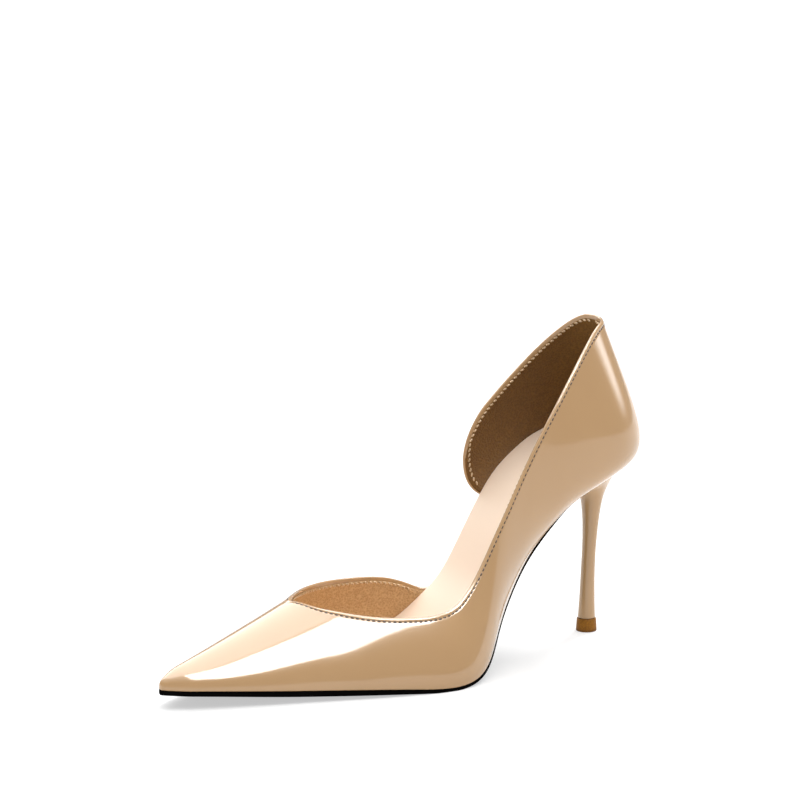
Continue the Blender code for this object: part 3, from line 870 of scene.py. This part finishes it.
def stitch_bodies(here, ahead, normal, half_length, half_width, half_height, slant):
    """A rounded stitch at each place: an ellipse swept along it, as wide as the square root of the cosine of
    the way along, which blunts its ends, and turned by the slant in the leather's surface."""
    across = np.cross(normal, ahead)
    turned = ahead * math.cos(slant) + across * math.sin(slant)
    across = np.cross(normal, turned)
    rings, sides = STITCH_RINGS, STITCH_SIDES
    t = np.linspace(-STITCH_END, STITCH_END, rings)
    around = circle_angles(sides)
    girth = np.sqrt(np.cos(t))[:, None]
    point = (
        here[:, None, None]
        + turned[:, None, None] * (np.sin(t) * half_length)[None, :, None, None]
        + across[:, None, None] * (girth * np.cos(around) * half_width)[None, :, :, None]
        + normal[:, None, None] * (girth * np.sin(around) * half_height)[None, :, :, None]
    )
    first = (np.arange(len(here)) * rings * sides)[:, None, None]
    fan = np.stack((np.zeros(sides - 2, int), np.arange(1, sides - 1), np.arange(2, sides)), axis=1)
    ends = np.concatenate((fan[:, ::-1], fan + (rings - 1) * sides))
    quads = (tube_quads(rings, sides)[None] + first).reshape(-1, 4)
    return point.reshape(-1, 3), [quads, (ends[None] + first).reshape(-1, 3)]


class PUMP_OT_stitches(bpy.types.Operator):
    """Rows of stitches below the topline, outside and inside"""

    bl_idname = "pump.stitches"
    bl_label = "Stitches"

    def execute(self, context):
        size = context.scene.pump_stitches
        upper = context.scene.pump_upper
        # Partly painted shade: the outside thread is drawn dark. Its own colour is darkened to stand for the
        # shade on stitches sunk in the leather.
        outside = sewing_thread("thread_outside", size.thread_and_shade_colour, size.thread_and_shade_deep)
        inside = sewing_thread("thread_inside", size.bobbin_colour, size.bobbin_deep)
        seam = upper.seam_inset / MM
        lift = WALL - upper.seam_depth / MM
        start = THROAT + SEAM_START
        outer, vamp = (np.linspace(start, end, LINE_POINTS) for end in (BACK, VAMP_SEAM_END))
        lines = (
            surface_frame(OUTER, *topline_seam(OUTER, OUTER_CUT, outer, seam)),
            surface_frame(INNER, *topline_seam(INNER, VAMP_CUT, vamp, seam)),
            surface_frame(INNER, *counter_seam(seam)),
        )
        needle = (size.stitch_length, size.stitch_width, 0.0)
        bobbin = (size.bobbin_length, size.bobbin_width, size.bobbin_slant)
        rows = (("topline_stitches", outside, lift, needle), ("lining_stitches", inside, LINING_LOW, bobbin))
        for name, material, offset, (length, width, slant) in rows:
            steps = [even_steps(at + normal * offset, normal, size.pitch / MM) for at, normal in lines]
            places = (np.concatenate(column) for column in zip(*steps))
            half_length, half_width = length / MM / 2, width / MM / 2
            points, faces = stitch_bodies(*places, half_length, half_width, half_width * size.flatness, slant)
            make_piece(name, points, faces, material)
        return {"FINISHED"}


# Insole and sole

ACROSS = 41  # points across the insole and the sole
UNDER = 13  # points across the insole's underside
TURNS = 5  # steps round a softened edge
FINE_ROWS = 80  # for reading the wall's shape
INSOLE_STEPS = (150, 90, 16)  # stations up to the turn, to the finer ones at the back, and of those
INSOLE_FINE = 7.0  # finer stations at the insole's back
SOLE_STEPS = (150, 50)  # stations up to the turn, and to the heel
SOLE_TIP_STEPS = 26  # stations round the tip
SOLE_TIP_START = 3  # the first of them that the sole has, which leaves its tip blunt
SOLE_CROWN = 4  # power of the place across by which the sole thins toward its edges


def plan_line(stations, side, out):
    """The plan line so far out along one side."""
    return np.stack(place(stations, out, side), axis=-1)


def across_plan(outer_line, inner_line, count):
    """Plan points spaced evenly from one line to the other."""
    share = np.linspace(0, 1, count)[None, :, None]
    return outer_line[:, None] * (1 - share) + inner_line[:, None] * share


def soft_edged(outer_line, inner_line, soft):
    """Plan points across with both edges rounded: even between the lines moved in by the softness, then out
    by the sine of a quarter turn. Gives the points, their fall by one less the cosine, and their place from
    -1 to 1."""
    turn = np.linspace(0, math.pi / 2, TURNS + 1)
    apart = unit(inner_line - outer_line) * soft
    inset = (outer_line + apart, inner_line - apart)
    reach = apart[:, None] * np.sin(turn)[None, 1:, None]
    sides = (inset[0][:, None] - reach[:, ::-1], inset[1][:, None] + reach)
    fall = (1 - np.cos(turn))[1:] * soft
    plan = np.concatenate((sides[0], across_plan(*inset, ACROSS), sides[1]), axis=1)
    falls = np.concatenate((fall[::-1], np.zeros(ACROSS), fall))
    share = np.concatenate((np.full(TURNS, -1.0), np.linspace(-1, 1, ACROSS), np.full(TURNS, 1.0)))
    return plan, falls[None, :], share[None, :]


def out_at_rise(stations, side, rises):
    """How far out the last is at so much height over its bottom edge: between the two rows of the side that
    the height falls between, in proportion."""
    points = side_point(side, stations[:, None], np.linspace(0, 1, FINE_ROWS)[None, :])
    x, y = place(stations[:, None], 0.0, side)
    out = np.hypot(points[..., 0] - x, points[..., 1] - y)
    heights = points[..., 2] - points[:, :1, 2]
    row = np.clip(np.sum(heights < rises[:, None], axis=1) - 1, 0, FINE_ROWS - 2)[:, None]
    low, high = (np.take_along_axis(heights, at, axis=1)[:, 0] for at in (row, row + 1))
    near, far = (np.take_along_axis(out, at, axis=1)[:, 0] for at in (row, row + 1))
    return near + (far - near) * (rises - low) / (high - low)


def with_height(plan, z):
    """Plan points with their heights."""
    return np.concatenate((plan, z[..., None]), axis=-1)


class PUMP_OT_insole(bpy.types.Operator):
    """Insole with its leather sock, bent to the last, its upper edge rounded"""

    bl_idname = "pump.insole"
    bl_label = "Insole"

    def execute(self, context):
        size = context.scene.pump_insole
        sock = sock_leather("sock_leather", size.sock_colour, size.sock_deep)
        stops = (TURN_START, INSOLE_BACK - INSOLE_FINE, INSOLE_BACK)
        stations = spread((INSOLE_TOE, 0), *zip(stops, INSOLE_STEPS))
        rise = (INSOLE.read("thick", stations) + INSOLE.read("cup", stations)) * slope_length(stations)
        tops, bottoms, bulges = [], [], []
        for side in (OUTER, INNER):
            top = out_at_rise(stations, side, rise) - EDGE_GAP
            bulge = out_at_rise(stations, side, rise * EDGE_BULGE) - EDGE_GAP
            foot = foot_of(stations, side)
            tops.append(plan_line(stations, side, np.minimum(top, bulge + rise)))
            bottoms.append(plan_line(stations, side, foot - LOWER_EDGE_GAP))
            z = PROFILE.read("height", place(stations, foot, side)[0]) + rise * EDGE_BULGE
            bulges.append(with_height(plan_line(stations, side, bulge), z)[:, None])
        plan, fall, share = soft_edged(*tops, size.edge_round / MM)
        x = plan[..., 0]
        lift = INSOLE.read("thick", x) + INSOLE.read("cup", x) * share**2 - fall
        top = with_height(plan, PROFILE.read("height", x) + lift * slope_length(x))
        plan = across_plan(*bottoms, UNDER)
        x = plan[..., 0]
        bottom = with_height(plan, PROFILE.read("height", x) + INSOLE.read("bottom", x) * slope_length(x))
        points, *faces = loft(np.concatenate((top, bulges[1], bottom[:, ::-1], bulges[0]), axis=1))
        make_piece("insole_sock", points, faces, sock, ("insole",), BODY_SHARP)
        return {"FINISHED"}


def pushed_out(line, side, amount):
    """A plan line moved along its own normals, its first point straight ahead."""
    ahead = np.gradient(line, axis=0)
    ahead[0] = (0.0, side)
    normal = np.stack((-ahead[:, 1], ahead[:, 0]), axis=-1) * side
    return line + unit(normal) * amount[:, None]


def sole_top(x):
    """Height of the sole's upper face: the bottom edge less the drop, square to the slope."""
    return PROFILE.read("height", x) - OUTSOLE.read("drop", x) * slope_length(x)


class PUMP_OT_outsole(bpy.types.Operator):
    """Thin sole with a waxed edge and a flat tread"""

    bl_idname = "pump.outsole"
    bl_label = "Outsole"

    def execute(self, context):
        size = context.scene.pump_sole
        leather = sole_leather("sole_leather", size.sole_colour, size.sole_deep)
        tip = tip_steps(SOLE_TIP_STEPS)[SOLE_TIP_START:]
        body = spread((tip[-1], 0), *zip((TURN_START, SOLE_END), SOLE_STEPS))
        stations = np.append(tip[:-1], body)
        reach = WALL - OUTSOLE.read("set_back", stations) + size.edge_wax / MM
        feet = [(side, plan_line(stations, side, foot_of(stations, side))) for side in (OUTER, INNER)]
        edges = [pushed_out(line, side, reach) for side, line in feet]
        plan = across_plan(*edges, ACROSS)
        under, fall, share = soft_edged(*edges, size.edge_round / MM)
        x = under[..., 0]
        middle = OUTSOLE.read("middle", x)
        thick = middle + (OUTSOLE.read("edge", x) - middle) * share**SOLE_CROWN
        under_z = np.maximum(sole_top(x) - thick * slope_length(x), 0.0) + fall * slope_length(x)
        rings = (with_height(plan, sole_top(plan[..., 0])), with_height(under, under_z)[:, ::-1])
        points, *faces = loft(np.concatenate(rings, axis=1))
        make_piece("outsole_leather", points, faces, leather, ("outsole",), BODY_SHARP)
        return {"FINISHED"}


# Heel

HEEL_RINGS = 110  # from the foot to the seat
HEEL_SIDES = 72  # round the heel and the lift
RING_SPREAD = 0.8  # below 1 crowds the rings toward the flare
LIFT_TAPER = 0.3  # the lift is this much narrower at its top


def heel_rings(heights):
    """Rings of the heel: an ellipse about its line at each height, leaning to the seat by its slant."""
    around = circle_angles(HEEL_SIDES)[None, :]
    level = heights[:, None]
    x = HEEL.read("along", level) + HEEL.read("half_length", level) * np.cos(around)
    y = HEEL.read("half_width", level) * np.sin(around)
    seat = PROFILE.read("height", x) - PROFILE.read("height", HEEL.read("along", level))
    z = level + HEEL.read("slant", level) * seat
    return np.stack(np.broadcast_arrays(x, y, z), axis=-1)


def lift_rings(low, high, soft):
    """Rings of the lift between the corners of its box: a cone with both rims rounded by a quarter circle."""
    middle = (low + high) / 2
    radius = (high - low)[0] / 2
    turn = np.linspace(0, math.pi / 2, TURNS + 1)
    foot = radius - soft + soft * np.sin(turn)
    head = radius - LIFT_TAPER - soft + soft * np.cos(turn)
    z = np.append(low[2] + soft - soft * np.cos(turn), high[2] - soft + soft * np.sin(turn))[:, None]
    across = np.append(foot, head)[:, None]
    around = circle_angles(HEEL_SIDES)[None, :]
    circle = (middle[0] + across * np.cos(around), middle[1] + across * np.sin(around), z)
    return np.stack(np.broadcast_arrays(*circle), axis=-1)


class PUMP_OT_heel(bpy.types.Operator):
    """Covered stiletto and the lift under it"""

    bl_idname = "pump.heel"
    bl_label = "Heel and Lift"

    def execute(self, context):
        size = context.scene.pump_heel
        upper = context.scene.pump_upper
        cover = patent_leather("heel_patent", upper.patent_colour, upper.patent_deep, upper.gloss_blur)
        rubber = hard_rubber("lift_rubber", size.lift_colour, size.lift_deep)
        foot, seat = HEEL.where[[0, -1]]
        rings = heel_rings(foot + np.linspace(0, 1, HEEL_RINGS) ** RING_SPREAD * (seat - foot))
        collar = rings[-1:] + (0.0, 0.0, size.seat_fit / MM)
        points, *faces = loft(np.append(rings, collar, axis=0))
        make_piece("heel_cover", points, faces, cover, ("heel",), BODY_SHARP)
        low, high = (np.array(corner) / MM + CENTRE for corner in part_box("heel_top_piece"))
        points, *faces = loft(lift_rings(low, high, size.lift_round / MM))
        make_piece("heel_lift", points, faces, rubber, ("heel_top_piece",), BODY_SHARP)
        return {"FINISHED"}


# Stage

CARD = np.array([(-1, -1, 0), (1, -1, 0), (1, 1, 0), (-1, 1, 0)])  # corners of a rectangle that faces up
SOFTBOXES = ("key", "back", "strip")
SOFTBOX_FACTS = ("place", "aim", "width", "height", "strength", "softness")


def glowing_cloth(name, strength, soft, half_width, half_height):
    """Diffuser cloth of a softbox: light added to what is behind it, which fades toward its edges over a
    share of the half size by the smooth step of the distance from each edge."""
    material, tree, where = new_material(name)
    axes = node(tree, "ShaderNodeSeparateXYZ", Vector=where)
    light = strength
    for axis, half in (("X", half_width), ("Y", half_height)):
        off = node(tree, "ShaderNodeMath", {"operation": "ABSOLUTE"}, i0=axes.outputs[axis])
        ends = {"From_Min": half * (1 - soft), "From_Max": half, "To_Min": 1.0, "To_Max": 0.0}
        fade = node(tree, "ShaderNodeMapRange", SMOOTHED, Value=off.outputs[0], **ends)
        light = node(tree, "ShaderNodeMath", MULTIPLIED, i0=fade.outputs[0], i1=light).outputs[0]
    glow = node(tree, "ShaderNodeEmission", Strength=light)
    clear = node(tree, "ShaderNodeBsdfTransparent")
    both = node(tree, "ShaderNodeAddShader", i0=glow.outputs[0], i1=clear.outputs[0])
    node(tree, "ShaderNodeOutputMaterial", Surface=both.outputs[0])
    return material


def add_card(name, corners, material):
    """A flat rectangle of the stage."""
    mesh = bpy.data.meshes.new(name)
    mesh.from_pydata(corners.tolist(), [], [tuple(range(len(corners)))])
    mesh.materials.append(material)
    card = bpy.data.objects.new(name, mesh)
    bpy.context.scene.collection.objects.link(card)
    return card


def add_softbox(name, where, aim, width, height, strength, soft):
    """A softbox that faces a point; it shows in gloss alone."""
    half_width, half_height = width / 2, height / 2
    cloth = glowing_cloth(name + "_cloth", strength, soft, half_width, half_height)
    item = add_card(name, CARD[::-1] * (half_width, half_height, 0), cloth)
    item.rotation_euler = (Vector(aim) - Vector(where)).to_track_quat("-Z", "Y").to_euler()
    item.location = where
    item.visible_camera = False
    item.visible_diffuse = False
    item.visible_shadow = False


def direction(turn, rise):
    """Unit vector so far round from straight behind the heel and so far over the floor."""
    return math.cos(turn) * math.cos(rise), math.sin(turn) * math.cos(rise), math.sin(rise)


class PUMP_OT_stage(bpy.types.Operator):
    """Pale floor, soft studio light and the camera"""

    bl_idname = "pump.stage"
    bl_label = "Stage"

    def execute(self, context):
        scene = context.scene
        size = scene.pump_stage
        acrylic = light_table("opal_acrylic", size.floor_colour, size.floor_glow)
        add_card("floor", CARD * size.floor_half, acrylic)
        self.light_room(scene, size)
        self.aim_camera(scene, size)
        scene.view_settings.view_transform = "Standard"
        return {"FINISHED"}

    def light_room(self, scene, size):
        """A room that is bright about one direction overhead and falls off smoothly round it, a soft lamp
        from behind for the shadow, and softboxes."""
        world = bpy.data.worlds.new("studio")
        world.use_nodes = True
        scene.world = world
        tree = world.node_tree
        way = direction(size.ceiling_turn, size.ceiling_rise)
        looking = node(tree, "ShaderNodeTexCoord").outputs["Generated"]
        toward = node(tree, "ShaderNodeVectorMath", {"operation": "DOT_PRODUCT"}, i0=looking, i1=way)
        fall = {"From_Min": math.cos(size.ceiling_edge), "From_Max": math.cos(size.ceiling_core)}
        light = {"To_Min": size.room_strength, "To_Max": size.ceiling_strength}
        bright = node(tree, "ShaderNodeMapRange", SMOOTHED, Value=toward.outputs["Value"], **fall, **light)
        background = tree.nodes["Background"]
        background.inputs["Color"].default_value = size.room_colour
        tree.links.new(bright.outputs[0], background.inputs["Strength"])
        lamp = bpy.data.lights.new("sun_lamp", "SUN")
        lamp.energy = size.sun_strength
        lamp.angle = size.sun_size
        sun = bpy.data.objects.new("sun_lamp", lamp)
        lit_from = Vector(direction(size.sun_turn, size.sun_rise))
        sun.rotation_euler = lit_from.to_track_quat("Z", "Y").to_euler()
        sun.visible_glossy = False
        scene.collection.objects.link(sun)
        for box in SOFTBOXES:
            add_softbox(box + "_softbox", *(getattr(size, box + "_" + fact) for fact in SOFTBOX_FACTS))

    def aim_camera(self, scene, size):
        """The camera looks along its yaw and tilt at a point, which it sees so many pixels off the middle."""
        yaw, tilt = size.camera_yaw, size.camera_tilt
        back = np.array((-math.sin(yaw) * math.cos(tilt), -math.cos(yaw) * math.cos(tilt), math.sin(tilt)))
        right = np.array((math.cos(yaw), -math.sin(yaw), 0.0))
        above = np.cross(back, right)
        lens = bpy.data.cameras.new("camera")
        lens.sensor_width = SENSOR
        lens.lens = size.camera_lens
        ahead = size.camera_lens / SENSOR * PIXELS
        view = -back * ahead + right * size.aim_right + above * size.aim_up
        camera = bpy.data.objects.new("camera", lens)
        camera.location = np.array(size.camera_target) + back * size.camera_distance
        camera.rotation_euler = Vector(view).to_track_quat("-Z", "Y").to_euler()
        scene.collection.objects.link(camera)
        scene.camera = camera


# Settings


def colour(name, description, hex_colour):
    """A colour setting with an sRGB default."""
    tone = linear(hex_colour)
    kind = {"size": len(tone), "min": 0.0, "max": 1.0, "subtype": "COLOR"}
    return FloatVectorProperty(name=name, description=description, default=tone, **kind)


def length(name, description, metres):
    """A length setting with its default in metres."""
    kind = {"min": 0.0, "precision": 5, "unit": "LENGTH"}
    return FloatProperty(name=name, description=description, default=metres, **kind)


def angle(name, description, degrees):
    """An angle setting with its default in degrees."""
    return FloatProperty(name=name, description=description, default=math.radians(degrees), subtype="ANGLE")


def spot(name, description, metres):
    """A place setting with its default in metres."""
    kind = {"subtype": "TRANSLATION", "unit": "LENGTH"}
    return FloatVectorProperty(name=name, description=description, default=metres, **kind)


def amount(name, description, value):
    """A plain number that isn't negative."""
    return FloatProperty(name=name, description=description, default=value, min=0.0)


def fraction(name, description, share):
    """A share from 0 to 1."""
    kind = {"min": 0.0, "max": 1.0, "subtype": "FACTOR"}
    return FloatProperty(name=name, description=description, default=share, **kind)


def pixels(name, description, count):
    """A distance in pixels of the picture, to either side."""
    return FloatProperty(name=name, description=description, default=count, subtype="PIXEL")


class PumpUpper(bpy.types.PropertyGroup):
    """Leather, lining and folded topline"""

    patent_colour: colour("Patent", "Lighter tone of the patent leather", "#BD986D")
    patent_deep: colour("Patent Deep", "Deeper tone of the patent leather", "#B69167")
    lining_colour: colour("Lining", "Lighter tone of the lining", "#CBA576")
    lining_deep: colour("Lining Deep", "Deeper tone of the lining", "#AD8655")
    # Painted shade of the lining deep inside the counter: its darker colour and where it starts along the
    # shoe.
    painted_shade_colour: colour("Grip Shade", "Shade of the heel grip over the lining", "#988448")
    painted_shade_start: length("Grip Start", "Where the heel grip starts along the shoe", 0.042)
    gloss_blur: fraction("Gloss Blur", "Roughness of the lacquer", 0.09)
    seam_inset: length("Seam Inset", "Distance of the stitches from the topline", 0.0014)
    seam_depth: length("Seam Depth", "How far the stitches pull the leather in", 0.0002)
    fold_puff: length("Fold Puff", "How far the folded edge stands out", 0.00015)
    fold_round: length("Fold Round", "How far the folded edge rounds over", 0.0006)
    edge_thinning: length("Edge Thinning", "How much thinner the wall is at the topline", 0.0005)


class PumpStitches(bpy.types.PropertyGroup):
    """Threads and the stitches they make"""

    # The outside thread's tones are partly its own colour and partly painted shade of the sunk stitches.
    thread_and_shade_colour: colour("Thread", "Lighter ply of the outside thread", "#4E3724")
    thread_and_shade_deep: colour("Thread Deep", "Deeper ply of the outside thread", "#2E2018")
    bobbin_colour: colour("Bobbin", "Lighter ply of the inside thread", "#E2C69E")
    bobbin_deep: colour("Bobbin Deep", "Deeper ply of the inside thread", "#B08C60")
    pitch: length("Pitch", "From one stitch to the next", 0.0021)
    stitch_length: length("Stitch Length", "Length of one outside stitch", 0.0014)
    stitch_width: length("Stitch Width", "Thickness of the outside thread", 0.0009)
    bobbin_length: length("Bobbin Length", "Length of one inside stitch", 0.0017)
    bobbin_width: length("Bobbin Width", "Thickness of the inside thread", 0.0009)
    bobbin_slant: angle("Bobbin Slant", "Turn of the inside stitches from their seam", 28.0)
    flatness: fraction("Flatness", "Height of a stitch over its width", 0.7)


class PumpInsole(bpy.types.PropertyGroup):
    """Sock and its edge"""

    sock_colour: colour("Sock", "Lighter tone of the sock", "#F5DFC9")
    sock_deep: colour("Sock Deep", "Deeper tone of the sock", "#F1D8BF")
    edge_round: length("Edge Round", "Rounding of the upper edge", 0.0006)


class PumpSole(bpy.types.PropertyGroup):
    """Sole leather and its edge"""

    sole_colour: colour("Sole", "Lighter tone of the sole", "#0D0C0B")
    sole_deep: colour("Sole Deep", "Deeper tone of the sole", "#060505")
    edge_round: length("Edge Round", "Rounding of the lower edge", 0.00015)
    edge_wax: length("Edge Wax", "Ink and wax built up on the edge", 0.0005)


class PumpHeel(bpy.types.PropertyGroup):
    """Heel cover and lift"""

    seat_fit: length("Seat Fit", "How far the cover runs up into the seat", 0.0009)
    lift_colour: colour("Lift", "Lighter tone of the lift", "#AE731E")
    lift_deep: colour("Lift Deep", "Deeper tone of the lift", "#6A4314")
    lift_round: length("Lift Round", "Rounding of the lift's edges", 0.0004)


class PumpStage(bpy.types.PropertyGroup):
    """Floor, lights and camera"""

    floor_colour: colour("Floor", "Colour of the table", "#BCBCBC")
    floor_half: length("Floor Half", "Half the width of the table", 6.0)
    floor_glow: amount("Floor Glow", "Brightness of the table's own light", 1.05)
    room_colour: colour("Room", "Colour of the room's light", "#FFFFFF")
    room_strength: amount("Room Strength", "Brightness of the room away from the ceiling light", 0.35)
    ceiling_strength: amount("Ceiling Strength", "Brightness in the middle of the ceiling light", 2.6)
    ceiling_turn: angle("Ceiling Turn", "Direction of the ceiling light round the shoe", 40.0)
    ceiling_rise: angle("Ceiling Rise", "Height of the ceiling light over the floor", 84.0)
    ceiling_core: angle("Ceiling Core", "Angle from its middle to where it starts to fall off", 10.0)
    ceiling_edge: angle("Ceiling Edge", "Angle from its middle to where it has fallen off", 62.0)
    sun_strength: amount("Sun Strength", "Brightness of the soft lamp from behind", 1.5)
    sun_turn: angle("Sun Turn", "Direction of the soft lamp round the shoe", 28.0)
    sun_rise: angle("Sun Rise", "Height of the soft lamp over the floor", 50.0)
    sun_size: angle("Sun Size", "How wide the soft lamp looks from the shoe", 14.0)
    key_place: spot("Key Place", "Middle of the key softbox", (0.05, -0.585, 1.0))
    key_aim: spot("Key Aim", "Point that the key softbox faces", (0.05, -0.585, 0.0))
    key_width: length("Key Width", "Size of the key softbox along the shoe", 0.7)
    key_height: length("Key Height", "Size of the key softbox across the shoe", 0.73)
    key_strength: amount("Key Strength", "Brightness of the key softbox", 20.0)
    key_softness: fraction("Key Softness", "Share of the key softbox that fades toward its edges", 0.02)
    strip_place: spot("Strip Place", "Middle of the strip softbox beside the heel", (1.25, -0.29, 0.34))
    strip_aim: spot("Strip Aim", "Point that the strip softbox faces", (0.1, 0.0, 0.1))
    strip_width: length("Strip Width", "Width of the strip softbox", 0.5)
    strip_height: length("Strip Height", "Height of the strip softbox", 0.42)
    strip_strength: amount("Strip Strength", "Brightness of the strip softbox", 6.0)
    strip_softness: fraction("Strip Softness", "Share of the strip softbox that fades toward its edges", 1.0)
    back_place: spot("Back Place", "Middle of the softbox over the far side", (0.1, 1.65, 1.0))
    back_aim: spot("Back Aim", "Point that the back softbox faces", (0.1, 1.65, 0.0))
    back_width: length("Back Width", "Size of the back softbox along the shoe", 1.2)
    back_height: length("Back Height", "Size of the back softbox across the shoe", 3.7)
    back_strength: amount("Back Strength", "Brightness of the back softbox", 4.3)
    back_softness: fraction("Back Softness", "Share of the back softbox that fades toward its edges", 0.02)
    camera_yaw: angle("Yaw", "Turn of the camera", 35.0)
    camera_tilt: angle("Tilt", "Height of the camera", 13.7)
    camera_lens: amount("Lens", "Focal length in millimetres", 227.36)
    camera_distance: length("Distance", "From the camera to its target", 2.0)
    camera_target: spot("Target", "Point from which the camera's distance counts", (-0.0008, 0.0047, 0.06))
    aim_right: pixels("Aim Right", "How far right of the target the camera aims", 2.57)
    aim_up: pixels("Aim Up", "How far above the target the camera aims", 118.68)


class PUMP_PT_panel(bpy.types.Panel):
    """Lists the pieces and their settings"""

    bl_idname = "PUMP_PT_panel"
    bl_label = "Patent Pump"
    bl_space_type = "VIEW_3D"
    bl_region_type = "UI"
    bl_category = "Pump"

    def draw(self, context):
        for operator in OPERATORS:
            self.layout.operator(operator.bl_idname)
        for settings in SETTINGS:
            group = getattr(context.scene, settings)
            box = self.layout.box()
            for key in type(group).__annotations__:
                box.prop(group, key)


OPERATORS = (
    PUMP_OT_upper,
    PUMP_OT_stitches,
    PUMP_OT_insole,
    PUMP_OT_outsole,
    PUMP_OT_heel,
    PUMP_OT_stage,
)
SETTINGS = {
    "pump_upper": PumpUpper,
    "pump_stitches": PumpStitches,
    "pump_insole": PumpInsole,
    "pump_sole": PumpSole,
    "pump_heel": PumpHeel,
    "pump_stage": PumpStage,
}


def register():
    """Adds the settings, the operators and the panel."""
    for key, group in SETTINGS.items():
        bpy.utils.register_class(group)
        setattr(bpy.types.Scene, key, PointerProperty(type=group))
    for kind in (*OPERATORS, PUMP_PT_panel):
        bpy.utils.register_class(kind)


def unregister():
    """Takes them away again."""
    for kind in (PUMP_PT_panel, *reversed(OPERATORS)):
        bpy.utils.unregister_class(kind)
    for key, group in SETTINGS.items():
        delattr(bpy.types.Scene, key)
        bpy.utils.unregister_class(group)


def main():
    """Adds the settings and makes every piece and the stage."""
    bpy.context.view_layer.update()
    register()
    for operator in OPERATORS:
        group, name = operator.bl_idname.split(".")
        getattr(getattr(bpy.ops, group), name)()


if __name__ == "__main__":
    main()
